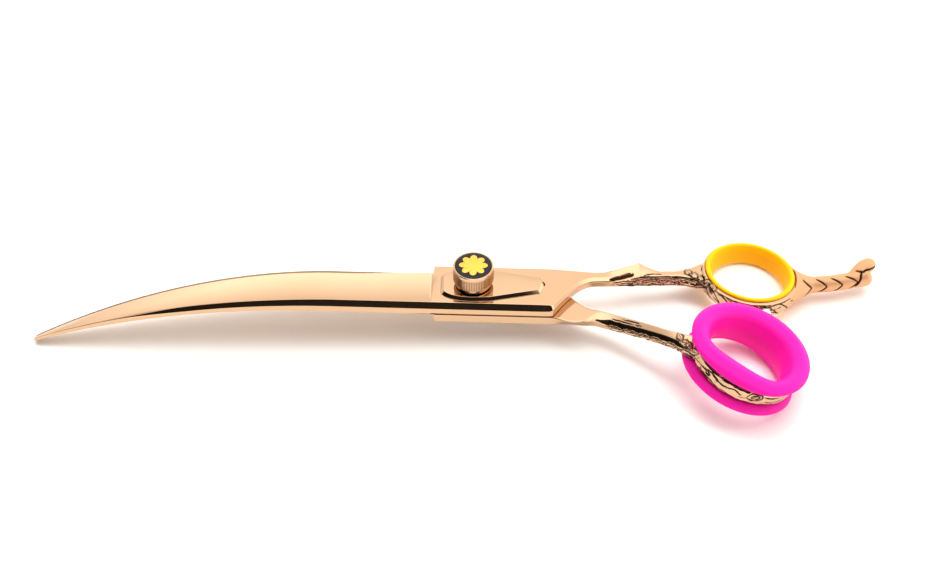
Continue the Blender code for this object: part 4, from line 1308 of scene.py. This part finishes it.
def black_enamel_finish():
    material, shader, shade = principled("black_enamel", IOR=1.5, Specular_IOR_Level=0.25)
    speck = object_noise(shade, 2500.0, 2.0)
    mixed(shade, speck, ENAMEL_BLACK, ENAMEL_SPECK).feed(shader, "Base Color")
    (0.06 + 0.06 * speck).feed(shader, "Roughness")
    return material


def gold_foil_finish():
    material, shader, shade = principled("gold_foil", Metallic=1.0)
    crumple = object_noise(shade, 1400.0, 3.0)
    mixed(shade, crumple, FOIL_GOLD, FOIL_DEEP).feed(shader, "Base Color")
    (0.25 + 0.2 * crumple).feed(shader, "Roughness")
    bump(shade, crumple, 0.35, 0.05 * MM).feed(shader, "Normal")
    return material


black_enamel = black_enamel_finish()


def dome(radius):
    """Height of the disc's top."""
    return KNOB_TOP + (DISC_TOP - KNOB_TOP) * np.sqrt(np.clip(1.0 - (radius / DISC_RADIUS) ** 2, 0.0, 1.0))


disc_profile = [(DISC_RADIUS, DISC_FLOOR)]
for step in range(DISC_STEPS):
    radius = DISC_RADIUS * math.cos(math.pi / 2 * step / DISC_STEPS)
    disc_profile.append((radius, float(dome(radius))))
disc = turned("dial_disc", DISC_SIDES, disc_profile)
finish_piece(disc, "dial", black_enamel, ["knob_disc"], 40.0)

gold_foil = gold_foil_finish()
petal_rows = []
turns = np.linspace(0.0, 2 * math.pi, ROSETTE_SIDES, endpoint=False)
wave = np.abs(np.cos(turns * PETALS / 2))
reach = PETAL_REACH * blend(PETAL_NOTCH, 1.0, wave**0.7)
for ring_share in np.linspace(0.0, 1.0, ROSETTE_RINGS):
    radius = reach * (0.02 + 0.98 * ring_share)
    swell = (1.0 - ring_share**4) * (0.03 + 0.06 * wave * np.sin(ring_share * math.pi))
    hub = 0.08 * np.exp(-((radius / 0.8) ** 2))
    petal_rows.append(
        np.stack([radius * np.cos(turns), radius * np.sin(turns), dome(radius) + swell + hub], axis=1)
    )
base_row = petal_rows[-1].copy()
base_row[:, 2] -= 0.08
rosette = skin("dial_rosette", np.stack(petal_rows + [base_row]), False)
finish_piece(rosette, "dial", gold_foil, [], 40.0)

# Soft inserts
# Two moulded silicone sleeves pressed into the rings: a plain yellow one for the finger and a pink one
# with wide trumpet lips for the thumb, squeezed a little flat in front.
INSERT_STEPS = 220
LIP_REACH = 15.2
LIP_STRETCH = 0.7
LIP_FRONT = 13.4
LIP_TURN = math.radians(75.0)
LIP_HOLE = 10.3
FOLD_REACH = 7.3
FOLD_TURN = math.radians(-94.0)
PINK = (0.86, 0.009, 0.38)
PINK_DEEP = (0.82, 0.006, 0.33)
YELLOW = (0.98, 0.53, 0.001)
YELLOW_DEEP = (0.96, 0.47, 0.001)


def silicone_finish(name, light, deep):
    material, shader, shade = principled(name, IOR=1.42, Specular_IOR_Level=0.2)
    cloud = object_noise(shade, 130.0, 3.0)
    grain = object_noise(shade, 5200.0, 2.0)
    mixed(shade, cloud, light, deep).feed(shader, "Base Color")
    (0.42 + 0.16 * grain).feed(shader, "Roughness")
    bump(shade, grain, 0.12, 0.02 * MM).feed(shader, "Normal")
    return material


pink_silicone = silicone_finish("pink_silicone", PINK, PINK_DEEP)
yellow_silicone = silicone_finish("yellow_silicone", YELLOW, YELLOW_DEEP)


def finger_sleeve_outline(turn):
    return [
        (8.7, -2.8),
        (9.1, 1.0),
        (9.75, 2.75),
        (10.65, 2.8),
        (10.9, 2.3),
        (10.75, 2.1),
        (10.75, -2.2),
        (10.6, -3.3),
        (9.2, -3.4),
    ]


def thumb_sleeve_outline(turn):
    """Profile of the pink sleeve. Its upper lip is folded inwards in front, straight across the hole."""
    toward_fold = max(math.cos(turn - FOLD_TURN), 0.3)
    lip = LIP_REACH + LIP_STRETCH * math.cos(2.0 * (turn - LIP_TURN))
    lip = (lip**-12 + (LIP_FRONT / toward_fold) ** -12) ** (-1 / 12)
    inside = (LIP_HOLE**-8 + (FOLD_REACH / toward_fold) ** -8) ** -0.125
    return [
        (9.0, -1.0),
        (min(9.0, 1.15 * inside), 1.0),
        (inside, 4.9),
        (blend(inside, lip, 0.5), 5.9),
        (lip, 4.6),
        (13.4, 2.7),
        (10.85, 2.3),
        (10.85, -2.3),
        (13.2, -2.7),
        (14.1, -4.6),
        (12.3, -5.6),
        (10.3, -5.0),
    ]


finger_sleeve = skin(
    "finger_sleeve", ring_grid(finger.ring_place, finger_sleeve_outline, 0.5, INSERT_STEPS), True
)
finish_piece(
    finger_sleeve, "finger_half", yellow_silicone, ["finger_insert"], 60.0
)
thumb_sleeve = skin(
    "thumb_sleeve", ring_grid(thumb.ring_place, thumb_sleeve_outline, 1.1, INSERT_STEPS), True
)
finish_piece(thumb_sleeve, "thumb_half", pink_silicone, ["thumb_insert"], 60.0)

# Pivot screw, washers and bush
# Turned steel, brass and nylon pieces inside the joint, mostly out of sight, kept as the CAD solids.


def metal_finish(name, light, deep, roughness):
    material, shader, shade = principled(name, Metallic=1.0)
    turning = object_noise(shade, 800.0, 3.0, (1.0, 1.0, 6.0))
    mixed(shade, turning, light, deep).feed(shader, "Base Color")
    (roughness + 0.1 * turning).feed(shader, "Roughness")
    return material


def plastic_finish(name, light, deep):
    material, shader, shade = principled(name)
    cloud = object_noise(shade, 300.0, 2.0)
    mixed(shade, cloud, light, deep).feed(shader, "Base Color")
    (0.45 + 0.1 * cloud).feed(shader, "Roughness")
    return material


steel = metal_finish("steel", (0.62, 0.62, 0.62), (0.55, 0.55, 0.56), 0.22)
brass = metal_finish("brass", (0.8, 0.58, 0.22), (0.7, 0.48, 0.17), 0.25)
spring_steel = metal_finish("spring_steel", (0.35, 0.36, 0.38), (0.28, 0.29, 0.32), 0.3)
nylon = plastic_finish("nylon", (0.85, 0.84, 0.8), (0.8, 0.79, 0.74))
inner_pieces = {
    "pivot_screw": steel,
    "plate_pin": steel,
    "pivot_bush": brass,
    "thread_insert": brass,
    "glide_washer": nylon,
    "thrust_washer": nylon,
    "spring_washer_1": spring_steel,
    "spring_washer_2": spring_steel,
    "retaining_ring": spring_steel,
}
for name, material in inner_pieces.items():
    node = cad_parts[name]
    node.data.materials.clear()
    node.data.materials.append(material)

# Bumper
# A small dome of clear rubber pressed into the finger ring, which the thumb half closes against.
RUBBER_PALE = (0.86, 0.78, 0.76)
RUBBER_DEEP = (0.80, 0.70, 0.69)
clear_rubber, rubber_shader, rubber_shade = principled("clear_rubber", IOR=1.42)
haze = object_noise(rubber_shade, 900.0, 2.0)
mixed(rubber_shade, haze, RUBBER_PALE, RUBBER_DEEP).feed(rubber_shader, "Base Color")
(0.12 + 0.1 * haze).feed(rubber_shader, "Roughness")
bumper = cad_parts["bumper"]
bumper.data.materials.clear()
bumper.data.materials.append(clear_rubber)
